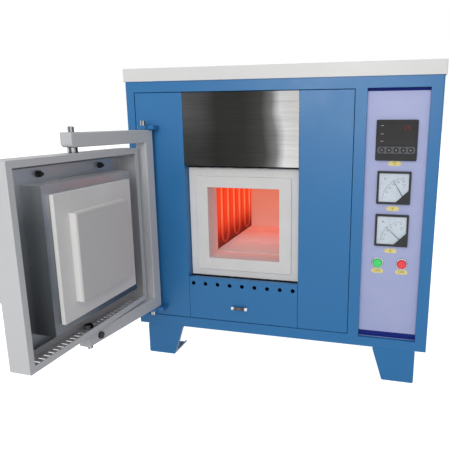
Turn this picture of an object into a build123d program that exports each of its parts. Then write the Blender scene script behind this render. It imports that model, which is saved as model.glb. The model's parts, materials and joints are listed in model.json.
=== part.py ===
from build123d import *
import os
from math import cos, radians, sin

os.makedirs("parts", exist_ok=True)

# Everything is in millimetres. The model is drawn with X = 0 in the middle of the cabinet,
# Y = 0 on its front face, +Y towards the back and Z = 0 on the floor. The door and its arm are
# drawn shut and swung open at the end, and the whole is then moved to its own footprint's middle.

# Sheet and play
SHEET = 2.0
THIN_SHEET = 1.5
PANEL_GAP = 1.5
DRAWER_GAP = 1.0
RUNNING_PLAY = 0.05
SLIDE_PLAY = 0.3
FIT_PLAY = 0.1

# Cabinet
CABINET_WIDTH = 805.0
CABINET_DEPTH = 700.0
FOOT_HEIGHT = 90.0
LID_TOP = 801.4
LID_HEIGHT = 32.7
LID_OVERHANG = 3.4
LID_EDGE = 1.5
FRAME_RETURN = 18.0
CORNER_RADIUS = 3.0
BASE_EDGE = 20.0

# Windows in the front frame, as left, right, bottom and distance below the lid
BAY_LEFT = -378.7
BAY_RIGHT = 203.3
BAY_BOTTOM = 119.0
BAY_HEAD = 27.5
BAY_FLANGE = 17.0
BAY_LIP = 5.0
RECESS_LEFT = 231.1
RECESS_RIGHT = 374.1
RECESS_BOTTOM = 114.9
RECESS_HEAD = 26.5
RECESS_DEPTH = 12.0

# The furnace column in the bay
COLUMN_LEFT = -242.3
COLUMN_RIGHT = 68.7
PANEL_SETBACK = 1.0
PANEL_RETURN_REVEAL = 40.0
LINTEL_BOTTOM = 552.2
LINTEL_RETURN = 18.0
LINTEL_GAP = 0.5
DRAWER_TOP = 242.3

# Feet
FOOT_WIDTH = 80.1
FOOT_INSET = 26.6
FOOT_FLARE = 28.2
FOOT_DEPTH = 80.0
FOOT_LIP = 12.0
FOOT_CORNER = 4.0

# Mouth and chamber
MOUTH_DEPTH = 65.9
MOUTH_BLOCK_HALF = 153.7
MOUTH_BLOCK_BOTTOM = 244.0
MOUTH_BLOCK_TOP = 544.5
MOUTH_PAD_WIDTH = 265.0
MOUTH_PAD_BOTTOM = 262.7
MOUTH_PAD_TOP = 522.5
MOUTH_PAD_PROUD = 4.5
MOUTH_PAD_CORNER = 6.0
OPENING_WIDTH = 200.0
OPENING_BOTTOM = 295.7
OPENING_TOP = 492.9
CHAMBER_WIDTH = 224.0
CHAMBER_TOP = 515.0
HEARTH_THICKNESS = 12.0
HEARTH_CLEARANCE = 3.0
SIDE_LINING = 75.0
ROOF_LINING = 100.0
FLOOR_LINING = 65.0
REAR_LINING = 90.0
REAR_SPACE = 139.8

# Heating elements: hairpins hung from the roof along both side walls
ELEMENTS_PER_SIDE = 3
ELEMENT_END_GAP = 21.5
ELEMENT_RADIUS = 3.0
TERMINAL_RADIUS = 6.0
ELEMENT_WALL_GAP = 5.0
ELEMENT_BOTTOM = 304.0
ELEMENT_SHOULDER = 508.0
TERMINAL_RISE = 62.0
HOLDER_MARGIN = 14.0
HOLDER_WIDTH = 26.0
HOLDER_HEIGHT = 18.0
CLAMP_LENGTH = 22.0
CLAMP_HEIGHT = 16.0
STRAP_THICKNESS = 3.0
STRAP_CLEARANCE = 1.0
CLAMP_PLAY = 0.02

# Thermocouple through the rear lining
SHEATH_RADIUS = 5.0
SHEATH_REACH = 45.0
SHEATH_DROP = 75.0
HEAD_RADIUS = 22.0
HEAD_LENGTH = 45.0

# Drawer
DRAWER_RETURN = 13.6
TRAY_HALF_WIDTH = 138.5
TRAY_BOTTOM = 125.0
TRAY_HEIGHT = 75.0
TRAY_LENGTH = 460.0
VENT_COUNT = 9
VENT_PITCH = 35.5
VENT_RADIUS = 5.6
VENT_HEIGHT = 224.2
PULL_WIDTH = 48.0
PULL_HEIGHT = 9.0
PULL_REACH = 9.0
PULL_BAR = 3.0
PULL_LEG = 5.0
PULL_CORNER = 4.0
PULL_OFFSET = 7.2
PULL_LEVEL = 162.5
RAIL_WIDTH = 24.0
RAIL_PLAY = 0.5
RAIL_START = 60.0
RAIL_END = 540.0
RUNNER_START = 20.0
RUNNER_LEDGE = 9.0
RUNNER_HEIGHT = 25.0

# Door arm
HINGE_X = -340.5
HINGE_Y = -30.4
ARM_REACH = 253.6
ARM_TUBE = 32.0
ARM_WALL = 2.5
ARM_BOTTOM = 155.2
ARM_TOP = 645.3
ARM_END = 18.0
ARM_UPRIGHT_INNER = 14.0
ARM_EDGE = 3.0
ARM_TIP_ROUND = 9.0
PIN_RADIUS = 6.5
PIN_EDGE = 1.3
BUSH_RADIUS = 9.0
BRACKET_GAP = 1.0
BRACKET_THICKNESS = 10.0
BRACKET_RADIUS = 14.0
BRACKET_WIDTH = 44.0
HINGE_PIN_PROUD = 13.0
LOCK_RADIUS = 8.5
LOCK_PROUD = 5.0
LOCK_EDGE = 1.0
LOCK_OFFSET = 20.0

# Door
DOOR_HALF_WIDTH = 217.3
DOOR_BOTTOM = 191.5
DOOR_TOP = 601.2
DOOR_DEPTH = 50.0
DOOR_RIM_OFFSET = 28.4
DOOR_LIP = 14.0
DOOR_EDGE = 3.0
SLOT_COUNT = 27
SLOT_PITCH = 14.0
SLOT_WIDTH = 4.5
SLOT_LENGTH = 24.0
SLOT_FREE_WIDTH = 38.0
LINER_CLEARANCE = 2.45
LINER_FRONT_OFFSET = 40.4
LINER_DEPTH = 50.0
LINER_FLANGE = 30.0
LINER_WINDOW_HALF = 124.0
BOARD_HALF = 133.5
BOARD_THICKNESS = 10.0
SEAL_GAP = 0.8
PLUG_CLEARANCE = 4.6
PLUG_THICKNESS = 18.0
PLUG_EDGE = 3.0
STRAP_BAR_HEIGHT = 16.0
STRAP_BAR_THICKNESS = 4.0
STRAP_BAR_RISE = 169.0
STRAP_BAR_HALF = 155.0
STUD_RADIUS = 4.0
STUD_X = 101.0
STUD_PROUD = 12.0
NUT_WIDTH = 13.0
NUT_THICKNESS = 6.0
PIVOT_NUT_WIDTH = 19.0
PIVOT_NUT_THICKNESS = 10.0
PIVOT_PIN_PROUD = 12.0
WASHER_RADIUS = 11.0
WASHER_GAP = 0.4
HANDLE_RADIUS = 8.0
HANDLE_LENGTH = 150.0
HANDLE_STANDOFF = 42.0
HANDLE_BEND = 16.0
HANDLE_X = 178.0

# Open angles of the arm and of the door, from shut, as seen from above
ARM_OPEN = 97.5
DOOR_OPEN = 91.5

# Control panel
CONTROLLER_SIZE = 96.0
CONTROLLER_LEFT = 254.9
CONTROLLER_DROP = 72.8
CONTROLLER_PROUD = 8.0
CONTROLLER_BODY = 90.0
CONTROLLER_DEPTH = 82.0
CONTROLLER_EDGE = 1.2
WINDOW_INSET = 4.5
WINDOW_HEIGHT = 53.0
WINDOW_DROP = 6.0
KEY_DROP = 71.0
KEY_COUNT = 5
KEY_PITCH = 16.65
KEY_RADIUS = 5.6
KEY_PROUD = 1.4
KEY_EDGE = 0.45
KEY_TRAVEL = 0.8
KEY_LENGTH = 5.0
METER_SIZE = 80.0
METER_CENTRE_X = 301.8
VOLTMETER_DROP = 194.3
AMMETER_DROP = 300.4
METER_PROUD = 8.0
METER_BORDER = 5.0
METER_BODY_RADIUS = 32.0
METER_BODY_DEPTH = 46.0
METER_CORNER = 29.0
DIAL_THICKNESS = 1.0
DIAL_SETBACK = 5.0
NEEDLE_PIVOT_X = 26.0
NEEDLE_PIVOT_Z = -28.0
NEEDLE_LENGTH = 55.0
NEEDLE_TAIL = 5.0
NEEDLE_WIDTH = 1.4
NEEDLE_THICKNESS = 0.6
NEEDLE_LIFT = 1.0
NEEDLE_HUB = 3.0
SPINDLE_RADIUS = 1.0
GLASS_THICKNESS = 1.0
GLASS_SETBACK = 1.0
VOLTMETER_ANGLE = 58.9
AMMETER_ANGLE = 42.3
BUTTON_DROP = 426.2
START_X = 271.8
STOP_X = 330.9
BUTTON_RADIUS = 11.0
BUTTON_PLAY = 0.3
BEZEL_RADIUS = 14.5
BEZEL_PROUD = 4.0
BEZEL_EDGE = 1.0
SLEEVE_WALL = 1.2
SLEEVE_DEPTH = 12.0
BUTTON_PROUD = 4.0
BUTTON_EDGE = 3.2
BUTTON_TRAVEL = 3.0
CONTACT_SIZE = 30.0
CONTACT_DEPTH = 34.0

# Electrical compartment and back
PARTITION_X = 217.0
TRANSFORMER_WIDTH = 120.0
TRANSFORMER_DEPTH = 150.0
TRANSFORMER_HEIGHT = 130.0
TRANSFORMER_Y = 300.0
COIL_WIDTH = 84.0
COIL_BULGE = 18.0
COIL_HEIGHT = 78.0
POWER_UNIT_WIDTH = 110.0
POWER_UNIT_HEIGHT = 150.0
HEATSINK_BASE = 10.0
HEATSINK_FIN = 30.0
HEATSINK_FINS = 9
POWER_UNIT_BACK_GAP = 30.0
POWER_UNIT_Z = 380.0
FAN_SIZE = 120.0
FAN_DEPTH = 38.0
FAN_BORE = 56.0
FAN_HUB = 20.0
FAN_SHAFT_RADIUS = 2.0
FAN_BLADES = 5
FAN_X = 302.0
FAN_DROP = 148.7
FAN_TIP_PLAY = 3.0
FAN_CORNER = 6.0
FAN_SPIDER = 6.0
FAN_BLADE_CHORD = 30.0
FAN_BLADE_TWIST = 38.0
FAN_GRILLE_WIDTH = 90.0
FAN_GRILLE_COUNT = 6
LOUVRE_COUNT = 12
LOUVRE_PITCH = 16.0
LOUVRE_WIDTH = 260.0
LOUVRE_HEIGHT = 6.0
LOUVRE_DROP = 208.7
GLAND_THREAD_RADIUS = 9.8
GLAND_BODY_RADIUS = 11.2
GLAND_NUT_WIDTH = 26.6
GLAND_NUT_THICKNESS = 6.0
GLAND_HEX_LENGTH = 10.0
GLAND_BORE = 7.0
GLAND_LENGTH = 30.0
GLAND_X = 330.0
GLAND_Z = 150.0

# Places worked out from the sizes above
HALF_WIDTH = CABINET_WIDTH / 2
SHELL_TOP = LID_TOP - SHEET
LID_BOTTOM = LID_TOP - LID_HEIGHT
BAY_TOP = LID_BOTTOM - BAY_HEAD
RECESS_TOP = LID_BOTTOM - RECESS_HEAD
COLUMN_CENTRE = (COLUMN_LEFT + COLUMN_RIGHT) / 2
OPENING_MIDDLE = (OPENING_BOTTOM + OPENING_TOP) / 2
LINER_FRONT = HINGE_Y + LINER_FRONT_OFFSET
MOUTH_PAD_FACE = LINER_FRONT + BOARD_THICKNESS + SEAL_GAP
MOUTH_FACE = MOUTH_PAD_FACE + MOUTH_PAD_PROUD
MOUTH_BACK = MOUTH_FACE + MOUTH_DEPTH
CHAMBER_LENGTH = CABINET_DEPTH - REAR_SPACE - REAR_LINING - MOUTH_BACK
CHAMBER_BACK = MOUTH_BACK + CHAMBER_LENGTH
CHAMBER_FLOOR = OPENING_BOTTOM - HEARTH_THICKNESS
LINING_HALF = CHAMBER_WIDTH / 2 + SIDE_LINING
LINING_BOTTOM = CHAMBER_FLOOR - FLOOR_LINING
LINING_TOP = CHAMBER_TOP + ROOF_LINING
LINING_BACK = CHAMBER_BACK + REAR_LINING
CASING_HALF = LINING_HALF + THIN_SHEET
CASING_BOTTOM = LINING_BOTTOM - THIN_SHEET
CASING_TOP = LINING_TOP + THIN_SHEET
CASING_BACK = LINING_BACK + THIN_SHEET
ELEMENT_X = CHAMBER_WIDTH / 2 - ELEMENT_WALL_GAP - ELEMENT_RADIUS
ELEMENTS_Y = (MOUTH_BACK + CHAMBER_BACK) / 2
ELEMENT_PITCH = (CHAMBER_LENGTH - 2 * ELEMENT_END_GAP) / ELEMENTS_PER_SIDE
SHANK_SPACING = ELEMENT_PITCH / 2
HOLDER_LENGTH = SHANK_SPACING + 2 * HOLDER_MARGIN
SHEATH_HEIGHT = CHAMBER_TOP - SHEATH_DROP
PANEL_Y = RECESS_DEPTH
DOOR_CENTRE = HINGE_X + ARM_REACH
DOOR_RIM = HINGE_Y + DOOR_RIM_OFFSET
DOOR_BACK = DOOR_RIM - DOOR_DEPTH
DOOR_MIDDLE = (DOOR_BOTTOM + DOOR_TOP) / 2
LINER_MIDDLE = (DRAWER_TOP + LINTEL_BOTTOM) / 2
LINER_HALF = (LINTEL_BOTTOM - DRAWER_TOP) / 2 - LINER_CLEARANCE
LINER_BACK = LINER_FRONT - LINER_DEPTH
STRAP_BACK = LINER_BACK - STRAP_BAR_THICKNESS
PLUG_HALF = OPENING_TOP - PLUG_CLEARANCE - OPENING_MIDDLE
TRAY_START = PANEL_SETBACK + SHEET
CONTROLLER_TOP = RECESS_TOP - CONTROLLER_DROP
VOLTMETER_TOP = RECESS_TOP - VOLTMETER_DROP
AMMETER_TOP = RECESS_TOP - AMMETER_DROP
BUTTON_HEIGHT = RECESS_TOP - BUTTON_DROP
POWER_UNIT_Y = CABINET_DEPTH - POWER_UNIT_BACK_GAP - POWER_UNIT_WIDTH
FAN_Z = LID_BOTTOM - FAN_DROP
LOUVRE_BOTTOM = LID_BOTTOM - LOUVRE_DROP


def block(x, y, z, mode=Mode.ADD):
    """Adds or cuts a straight block that spans three ranges, each given as (low, high)."""
    with BuildSketch(Plane.XY.offset(z[0])) as base:
        with Locations(((x[0] + x[1]) / 2, (y[0] + y[1]) / 2)):
            Rectangle(x[1] - x[0], y[1] - y[0])
    extrude(to_extrude=base.sketch, amount=z[1] - z[0], mode=mode)


def facing(y):
    """The upright plane at depth y, seen from the front: sketch X is +X and sketch Y is +Z."""
    return Plane.XZ.offset(-y)


def tray(x, z, y, depth, wall):
    """Adds a folded sheet panel: a flat face at y, with four edges turned back by depth."""
    block(x, (y, y + depth), z)
    block(
        (x[0] + wall, x[1] - wall),
        (y + wall, y + depth),
        (z[0] + wall, z[1] - wall),
        mode=Mode.SUBTRACT,
    )


def disc(plane, at, radius, amount, mode=Mode.ADD):
    """Adds or cuts a round bar that starts on plane, centred at its own point at."""
    with BuildSketch(plane) as circle:
        with Locations(at):
            Circle(radius)
    extrude(to_extrude=circle.sketch, amount=amount, mode=mode)


def nut(plane, at, width, amount, mode=Mode.ADD):
    """Adds a six-sided nut or bolt head, width across its flats, that starts on plane."""
    with BuildSketch(plane) as hexagon:
        with Locations(at):
            RegularPolygon(width / 2, 6, major_radius=False)
    extrude(to_extrude=hexagon.sketch, amount=amount, mode=mode)


# Poses: where the drawn pieces are at rest
front_y = HINGE_Y - ARM_REACH * sin(radians(ARM_OPEN)) - DOOR_HALF_WIDTH * sin(radians(DOOR_OPEN))
front_y = front_y - abs(DOOR_BACK - HINGE_Y) * abs(cos(radians(DOOR_OPEN)))
back_y = CABINET_DEPTH + GLAND_LENGTH
pivot_x = HINGE_X + ARM_REACH * cos(radians(ARM_OPEN))
handle_out = HINGE_Y - DOOR_BACK + HANDLE_STANDOFF + HANDLE_RADIUS
left_x = pivot_x - handle_out * sin(radians(DOOR_OPEN)) - HANDLE_X * abs(cos(radians(DOOR_OPEN)))
left_x = min(left_x, -HALF_WIDTH - LID_OVERHANG)
right_x = HALF_WIDTH + LID_OVERHANG
at_rest = Pos(-(left_x + right_x) / 2, -(front_y + back_y) / 2, 0)
arm_open = Pos(HINGE_X, HINGE_Y) * Rot(Z=-ARM_OPEN) * Pos(-HINGE_X, -HINGE_Y)
swivel = Pos(DOOR_CENTRE, HINGE_Y) * Rot(Z=ARM_OPEN - DOOR_OPEN) * Pos(-DOOR_CENTRE, -HINGE_Y)
arm_pose = at_rest * arm_open
door_pose = at_rest * arm_open * swivel


def save(piece, pose=at_rest):
    """Moves a finished piece to its place at rest and writes it under its own label."""
    placed = piece.moved(pose)
    placed.label = piece.label
    export_step(placed, f"parts/{piece.label}.step")


# Front frame: one folded sheet with two windows, a lipped one and a deep one
with BuildPart() as front_frame:
    block((-HALF_WIDTH, HALF_WIDTH), (0, FRAME_RETURN), (FOOT_HEIGHT, SHELL_TOP))
    upright = front_frame.edges().filter_by(Axis.Z).group_by(Axis.Y)[0]
    fillet(upright, CORNER_RADIUS)
    block(
        (-HALF_WIDTH + SHEET, HALF_WIDTH - SHEET),
        (SHEET, FRAME_RETURN),
        (FOOT_HEIGHT + SHEET, SHELL_TOP - SHEET),
        mode=Mode.SUBTRACT,
    )
    block(
        (BAY_LEFT - SHEET, BAY_RIGHT + SHEET),
        (SHEET, BAY_FLANGE),
        (BAY_BOTTOM - SHEET, BAY_TOP + SHEET),
    )
    block(
        (RECESS_LEFT - SHEET, RECESS_RIGHT + SHEET),
        (SHEET, RECESS_DEPTH),
        (RECESS_BOTTOM - SHEET, RECESS_TOP + SHEET),
    )
    block((BAY_LEFT, BAY_RIGHT), (0, BAY_FLANGE - SHEET), (BAY_BOTTOM, BAY_TOP), mode=Mode.SUBTRACT)
    block(
        (BAY_LEFT + BAY_LIP, BAY_RIGHT - BAY_LIP),
        (0, BAY_FLANGE),
        (BAY_BOTTOM + BAY_LIP, BAY_TOP - BAY_LIP),
        mode=Mode.SUBTRACT,
    )
    block(
        (RECESS_LEFT, RECESS_RIGHT),
        (0, RECESS_DEPTH),
        (RECESS_BOTTOM, RECESS_TOP),
        mode=Mode.SUBTRACT,
    )
front_frame.part.label = "front_frame"
save(front_frame.part)

# Side, rear, base and lid sheets
with BuildPart() as side_panels:
    for side in (-1, 1):
        edges = sorted((side * HALF_WIDTH, side * (HALF_WIDTH - SHEET)))
        block(edges, (FRAME_RETURN, CABINET_DEPTH - SHEET), (FOOT_HEIGHT, SHELL_TOP))
side_panels.part.label = "side_panels"
save(side_panels.part)

with BuildPart() as rear_panel:
    block((-HALF_WIDTH, HALF_WIDTH), (CABINET_DEPTH - SHEET, CABINET_DEPTH), (FOOT_HEIGHT, SHELL_TOP))
    with BuildSketch(facing(CABINET_DEPTH - SHEET)) as louvre_sketch:
        louvre_rise = (LOUVRE_COUNT - 1) * LOUVRE_PITCH / 2
        with Locations((COLUMN_CENTRE, LOUVRE_BOTTOM + louvre_rise)):
            with GridLocations(0, LOUVRE_PITCH, 1, LOUVRE_COUNT):
                Rectangle(LOUVRE_WIDTH, LOUVRE_HEIGHT)
        with Locations((FAN_X, FAN_Z)):
            with GridLocations(0, LOUVRE_PITCH, 1, FAN_GRILLE_COUNT):
                Rectangle(FAN_GRILLE_WIDTH, LOUVRE_HEIGHT)
        with Locations((GLAND_X, GLAND_Z)):
            Circle(GLAND_THREAD_RADIUS)
    extrude(amount=-SHEET, mode=Mode.SUBTRACT)
rear_panel.part.label = "rear_panel"
save(rear_panel.part)

with BuildPart() as base_plate:
    base_x = HALF_WIDTH - SHEET
    base_y = (FRAME_RETURN, CABINET_DEPTH - SHEET)
    block((-base_x, base_x), base_y, (FOOT_HEIGHT, FOOT_HEIGHT + BASE_EDGE))
    block(
        (-base_x + SHEET, base_x - SHEET),
        (base_y[0] + SHEET, base_y[1] - SHEET),
        (FOOT_HEIGHT + SHEET, FOOT_HEIGHT + BASE_EDGE),
        mode=Mode.SUBTRACT,
    )
base_plate.part.label = "base_plate"
save(base_plate.part)

with BuildPart() as top_lid:
    lid_x = HALF_WIDTH + LID_OVERHANG
    lid_y = (-LID_OVERHANG, CABINET_DEPTH + LID_OVERHANG)
    block((-lid_x, lid_x), lid_y, (LID_BOTTOM, LID_TOP))
    fillet(top_lid.edges().filter_by(Axis.Z), CORNER_RADIUS)
    fillet(top_lid.faces().sort_by(Axis.Z)[-1].edges(), LID_EDGE)
    block(
        (-lid_x + SHEET, lid_x - SHEET),
        (lid_y[0] + SHEET, lid_y[1] - SHEET),
        (LID_BOTTOM, LID_TOP - SHEET),
        mode=Mode.SUBTRACT,
    )
top_lid.part.label = "top_lid"
save(top_lid.part)

# Feet: folded tapered brackets, open behind, with a lip along the sloping edge
with BuildPart() as one_foot:
    with BuildSketch(Plane.XZ) as foot_outline:
        with BuildLine():
            Polyline(
                (0, 0),
                (FOOT_WIDTH, 0),
                (FOOT_WIDTH + FOOT_FLARE, FOOT_HEIGHT),
                (0, FOOT_HEIGHT),
                close=True,
            )
        make_face()
        fillet(foot_outline.vertices().group_by(Axis.Z)[0], FOOT_CORNER)
    extrude(amount=-FOOT_DEPTH)
    with BuildSketch(facing(SHEET)) as foot_core:
        offset(foot_outline.sketch, amount=-SHEET)
    extrude(amount=-FOOT_DEPTH, mode=Mode.SUBTRACT)
    block(
        (FOOT_WIDTH - FOOT_CORNER, FOOT_WIDTH + FOOT_FLARE),
        (FOOT_LIP, FOOT_DEPTH),
        (2 * FOOT_CORNER, FOOT_HEIGHT - SHEET),
        mode=Mode.SUBTRACT,
    )
with BuildPart() as feet:
    with Locations((-HALF_WIDTH + FOOT_INSET, 0, 0)):
        add(one_foot.part)
    mirror(about=Plane.XZ.offset(-CABINET_DEPTH / 2))
    mirror(about=Plane.YZ)
feet.part.label = "feet"
save(feet.part)

# Panels in the bay. The edges beside the mouth are turned back further and line its recess.
with BuildPart() as front_panels:
    panel_z = (BAY_BOTTOM + PANEL_GAP, BAY_TOP - PANEL_GAP)
    panel_back = BAY_FLANGE - SHEET
    left_x_range = (BAY_LEFT + PANEL_GAP, COLUMN_LEFT)
    right_x_range = (COLUMN_RIGHT, BAY_RIGHT - PANEL_GAP)
    for across in (left_x_range, right_x_range):
        tray(across, panel_z, PANEL_SETBACK, panel_back - PANEL_SETBACK, SHEET)
    for edge in ((COLUMN_LEFT - SHEET, COLUMN_LEFT), (COLUMN_RIGHT, COLUMN_RIGHT + SHEET)):
        block(edge, (panel_back, PANEL_RETURN_REVEAL), (DRAWER_TOP, LINTEL_BOTTOM))
front_panels.part.label = "front_panels"
save(front_panels.part)

with BuildPart() as lintel_plate:
    lintel_x = (COLUMN_LEFT + LINTEL_GAP, COLUMN_RIGHT - LINTEL_GAP)
    lintel_z = (LINTEL_BOTTOM, BAY_TOP - PANEL_GAP)
    block(lintel_x, (PANEL_SETBACK, panel_back), lintel_z)
    block(lintel_x, (panel_back, LINTEL_RETURN), (LINTEL_BOTTOM, LINTEL_BOTTOM + SHEET))
    block(
        lintel_x,
        (PANEL_SETBACK + SHEET, panel_back),
        (LINTEL_BOTTOM + SHEET, lintel_z[1] - SHEET),
        mode=Mode.SUBTRACT,
    )
    fillet(lintel_plate.edges().filter_by(Axis.X).group_by(Axis.Y)[0], SHEET / 2)
lintel_plate.part.label = "lintel_plate"
save(lintel_plate.part)

# Drawer below the mouth: folded front with a row of air holes, tray behind it and a small pull
with BuildPart() as drawer_front:
    drawer_x = (COLUMN_LEFT + DRAWER_GAP, COLUMN_RIGHT - DRAWER_GAP)
    drawer_z = (BAY_BOTTOM + PANEL_GAP, DRAWER_TOP)
    tray(drawer_x, drawer_z, PANEL_SETBACK, DRAWER_RETURN, SHEET)
    fillet(drawer_front.edges().filter_by(Axis.X).group_by(Axis.Y)[0], SHEET / 2)
    with BuildSketch(facing(PANEL_SETBACK)):
        with Locations((COLUMN_CENTRE, VENT_HEIGHT)):
            with GridLocations(VENT_PITCH, 0, VENT_COUNT, 1):
                Circle(VENT_RADIUS)
    extrude(amount=-SHEET, mode=Mode.SUBTRACT)
drawer_front.part.label = "drawer_front"
save(drawer_front.part)

with BuildPart() as drawer_tray:
    tray_x = (COLUMN_CENTRE - TRAY_HALF_WIDTH, COLUMN_CENTRE + TRAY_HALF_WIDTH)
    block(tray_x, (TRAY_START, TRAY_START + TRAY_LENGTH), (TRAY_BOTTOM, TRAY_BOTTOM + TRAY_HEIGHT))
    block(
        (tray_x[0] + THIN_SHEET, tray_x[1] - THIN_SHEET),
        (TRAY_START + THIN_SHEET, TRAY_START + TRAY_LENGTH - THIN_SHEET),
        (TRAY_BOTTOM + THIN_SHEET, TRAY_BOTTOM + TRAY_HEIGHT),
        mode=Mode.SUBTRACT,
    )
drawer_tray.part.label = "drawer_tray"
save(drawer_tray.part)

with BuildPart() as drawer_pull:
    pull_x = COLUMN_CENTRE - PULL_OFFSET
    with BuildSketch(Plane.XY.offset(PULL_LEVEL - PULL_HEIGHT / 2)) as pull_plan:
        with Locations((pull_x, PANEL_SETBACK - PULL_REACH / 2)):
            Rectangle(PULL_WIDTH, PULL_REACH)
        fillet(pull_plan.vertices().group_by(Axis.Y)[0], PULL_CORNER)
        with Locations((pull_x, PANEL_SETBACK - (PULL_REACH - PULL_BAR) / 2)):
            Rectangle(PULL_WIDTH - 2 * PULL_LEG, PULL_REACH - PULL_BAR, mode=Mode.SUBTRACT)
    extrude(amount=PULL_HEIGHT)
drawer_pull.part.label = "drawer_pull"
save(drawer_pull.part)

# Rails that carry the casing, each with the ledge that the drawer runs on
with BuildPart() as drawer_rails:
    for side in (-1, 1):
        wall = COLUMN_CENTRE + side * (TRAY_HALF_WIDTH + RAIL_PLAY)
        ledge = COLUMN_CENTRE + side * (TRAY_HALF_WIDTH - RUNNER_LEDGE)
        outer = wall + side * RAIL_WIDTH
        web = wall + side * SHEET
        rail_z = (FOOT_HEIGHT + SHEET, CASING_BOTTOM)
        block(sorted((wall, outer)), (RAIL_START, RAIL_END), rail_z)
        block(
            sorted((web, outer)),
            (RAIL_START, RAIL_END),
            (rail_z[0] + SHEET, rail_z[1] - SHEET),
            mode=Mode.SUBTRACT,
        )
        ledge_top = TRAY_BOTTOM - SLIDE_PLAY
        block(sorted((ledge, wall)), (RUNNER_START, RAIL_END), (ledge_top - THIN_SHEET, ledge_top))
        runner_top = TRAY_BOTTOM + RUNNER_HEIGHT
        block(sorted((wall, web)), (RUNNER_START, RAIL_START), (ledge_top - THIN_SHEET, runner_top))
drawer_rails.part.label = "drawer_rails"
save(drawer_rails.part)

# Inner casing round the insulation, its front with the collar that holds the mouth block
casing_x = (COLUMN_CENTRE - CASING_HALF, COLUMN_CENTRE + CASING_HALF)
lining_x = (COLUMN_CENTRE - LINING_HALF, COLUMN_CENTRE + LINING_HALF)
collar_half = MOUTH_BLOCK_HALF + FIT_PLAY
collar_z = (MOUTH_BLOCK_BOTTOM - FIT_PLAY, MOUTH_BLOCK_TOP + FIT_PLAY)
side_x = CHAMBER_WIDTH / 2
shank_y = [
    ELEMENTS_Y + (i - (ELEMENTS_PER_SIDE - 1) / 2) * ELEMENT_PITCH
    for i in range(ELEMENTS_PER_SIDE)
]
element_places = [
    (COLUMN_CENTRE + side * ELEMENT_X, y)
    for side in (-1, 1)
    for y in shank_y
]
shank_places = [
    (x, y + half * SHANK_SPACING / 2)
    for x, y in element_places
    for half in (-1, 1)
]

with BuildPart() as inner_casing:
    block(casing_x, (MOUTH_BACK, CASING_BACK), (CASING_BOTTOM, CASING_TOP))
    block(lining_x, (MOUTH_BACK, LINING_BACK), (LINING_BOTTOM, LINING_TOP), mode=Mode.SUBTRACT)
    with BuildSketch(Plane.XY.offset(LINING_TOP)):
        with Locations(*shank_places):
            Circle(TERMINAL_RADIUS + SHEET)
    extrude(amount=THIN_SHEET, mode=Mode.SUBTRACT)
    with BuildSketch(facing(LINING_BACK)):
        with Locations((COLUMN_CENTRE, SHEATH_HEIGHT)):
            Circle(SHEATH_RADIUS + FIT_PLAY)
    extrude(amount=-THIN_SHEET, mode=Mode.SUBTRACT)
inner_casing.part.label = "inner_casing"
save(inner_casing.part)

with BuildPart() as casing_front:
    block(casing_x, (MOUTH_BACK - THIN_SHEET, MOUTH_BACK), (CASING_BOTTOM, CASING_TOP))
    block(
        (COLUMN_CENTRE - collar_half - THIN_SHEET, COLUMN_CENTRE + collar_half + THIN_SHEET),
        (MOUTH_FACE + SHEET, MOUTH_BACK),
        (collar_z[0] - THIN_SHEET, collar_z[1] + THIN_SHEET),
    )
    block(
        (COLUMN_CENTRE - collar_half, COLUMN_CENTRE + collar_half),
        (MOUTH_FACE, MOUTH_BACK),
        collar_z,
        mode=Mode.SUBTRACT,
    )
casing_front.part.label = "casing_front"
save(casing_front.part)

# Mouth block with a raised pad that the door's board closes against
opening_x = (COLUMN_CENTRE - OPENING_WIDTH / 2, COLUMN_CENTRE + OPENING_WIDTH / 2)
opening_z = (OPENING_BOTTOM, OPENING_TOP)
with BuildPart() as mouth_block:
    block(
        (COLUMN_CENTRE - MOUTH_BLOCK_HALF, COLUMN_CENTRE + MOUTH_BLOCK_HALF),
        (MOUTH_FACE, MOUTH_BACK),
        (MOUTH_BLOCK_BOTTOM, MOUTH_BLOCK_TOP),
    )
    with BuildSketch(facing(MOUTH_FACE)):
        with Locations((COLUMN_CENTRE, (MOUTH_PAD_BOTTOM + MOUTH_PAD_TOP) / 2)):
            RectangleRounded(MOUTH_PAD_WIDTH, MOUTH_PAD_TOP - MOUTH_PAD_BOTTOM, MOUTH_PAD_CORNER)
    extrude(amount=MOUTH_PAD_PROUD)
    block(opening_x, (MOUTH_PAD_FACE, MOUTH_BACK), opening_z, mode=Mode.SUBTRACT)
mouth_block.part.label = "mouth_block"
save(mouth_block.part)

# Chamber lining boards, resting on and against each other
with BuildPart() as lining_floor:
    block(lining_x, (MOUTH_BACK, CHAMBER_BACK), (LINING_BOTTOM, CHAMBER_FLOOR))
lining_floor.part.label = "lining_floor"
save(lining_floor.part)

with BuildPart() as lining_sides:
    for side in (-1, 1):
        across = sorted((COLUMN_CENTRE + side * side_x, COLUMN_CENTRE + side * LINING_HALF))
        block(across, (MOUTH_BACK, CHAMBER_BACK), (CHAMBER_FLOOR, CHAMBER_TOP))
lining_sides.part.label = "lining_sides"
save(lining_sides.part)

with BuildPart() as lining_roof:
    block(lining_x, (MOUTH_BACK, CHAMBER_BACK), (CHAMBER_TOP, LINING_TOP))
    with BuildSketch(Plane.XY.offset(CHAMBER_TOP)):
        with Locations(*shank_places):
            Circle(TERMINAL_RADIUS + FIT_PLAY)
    extrude(amount=ROOF_LINING, mode=Mode.SUBTRACT)
lining_roof.part.label = "lining_roof"
save(lining_roof.part)

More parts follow.
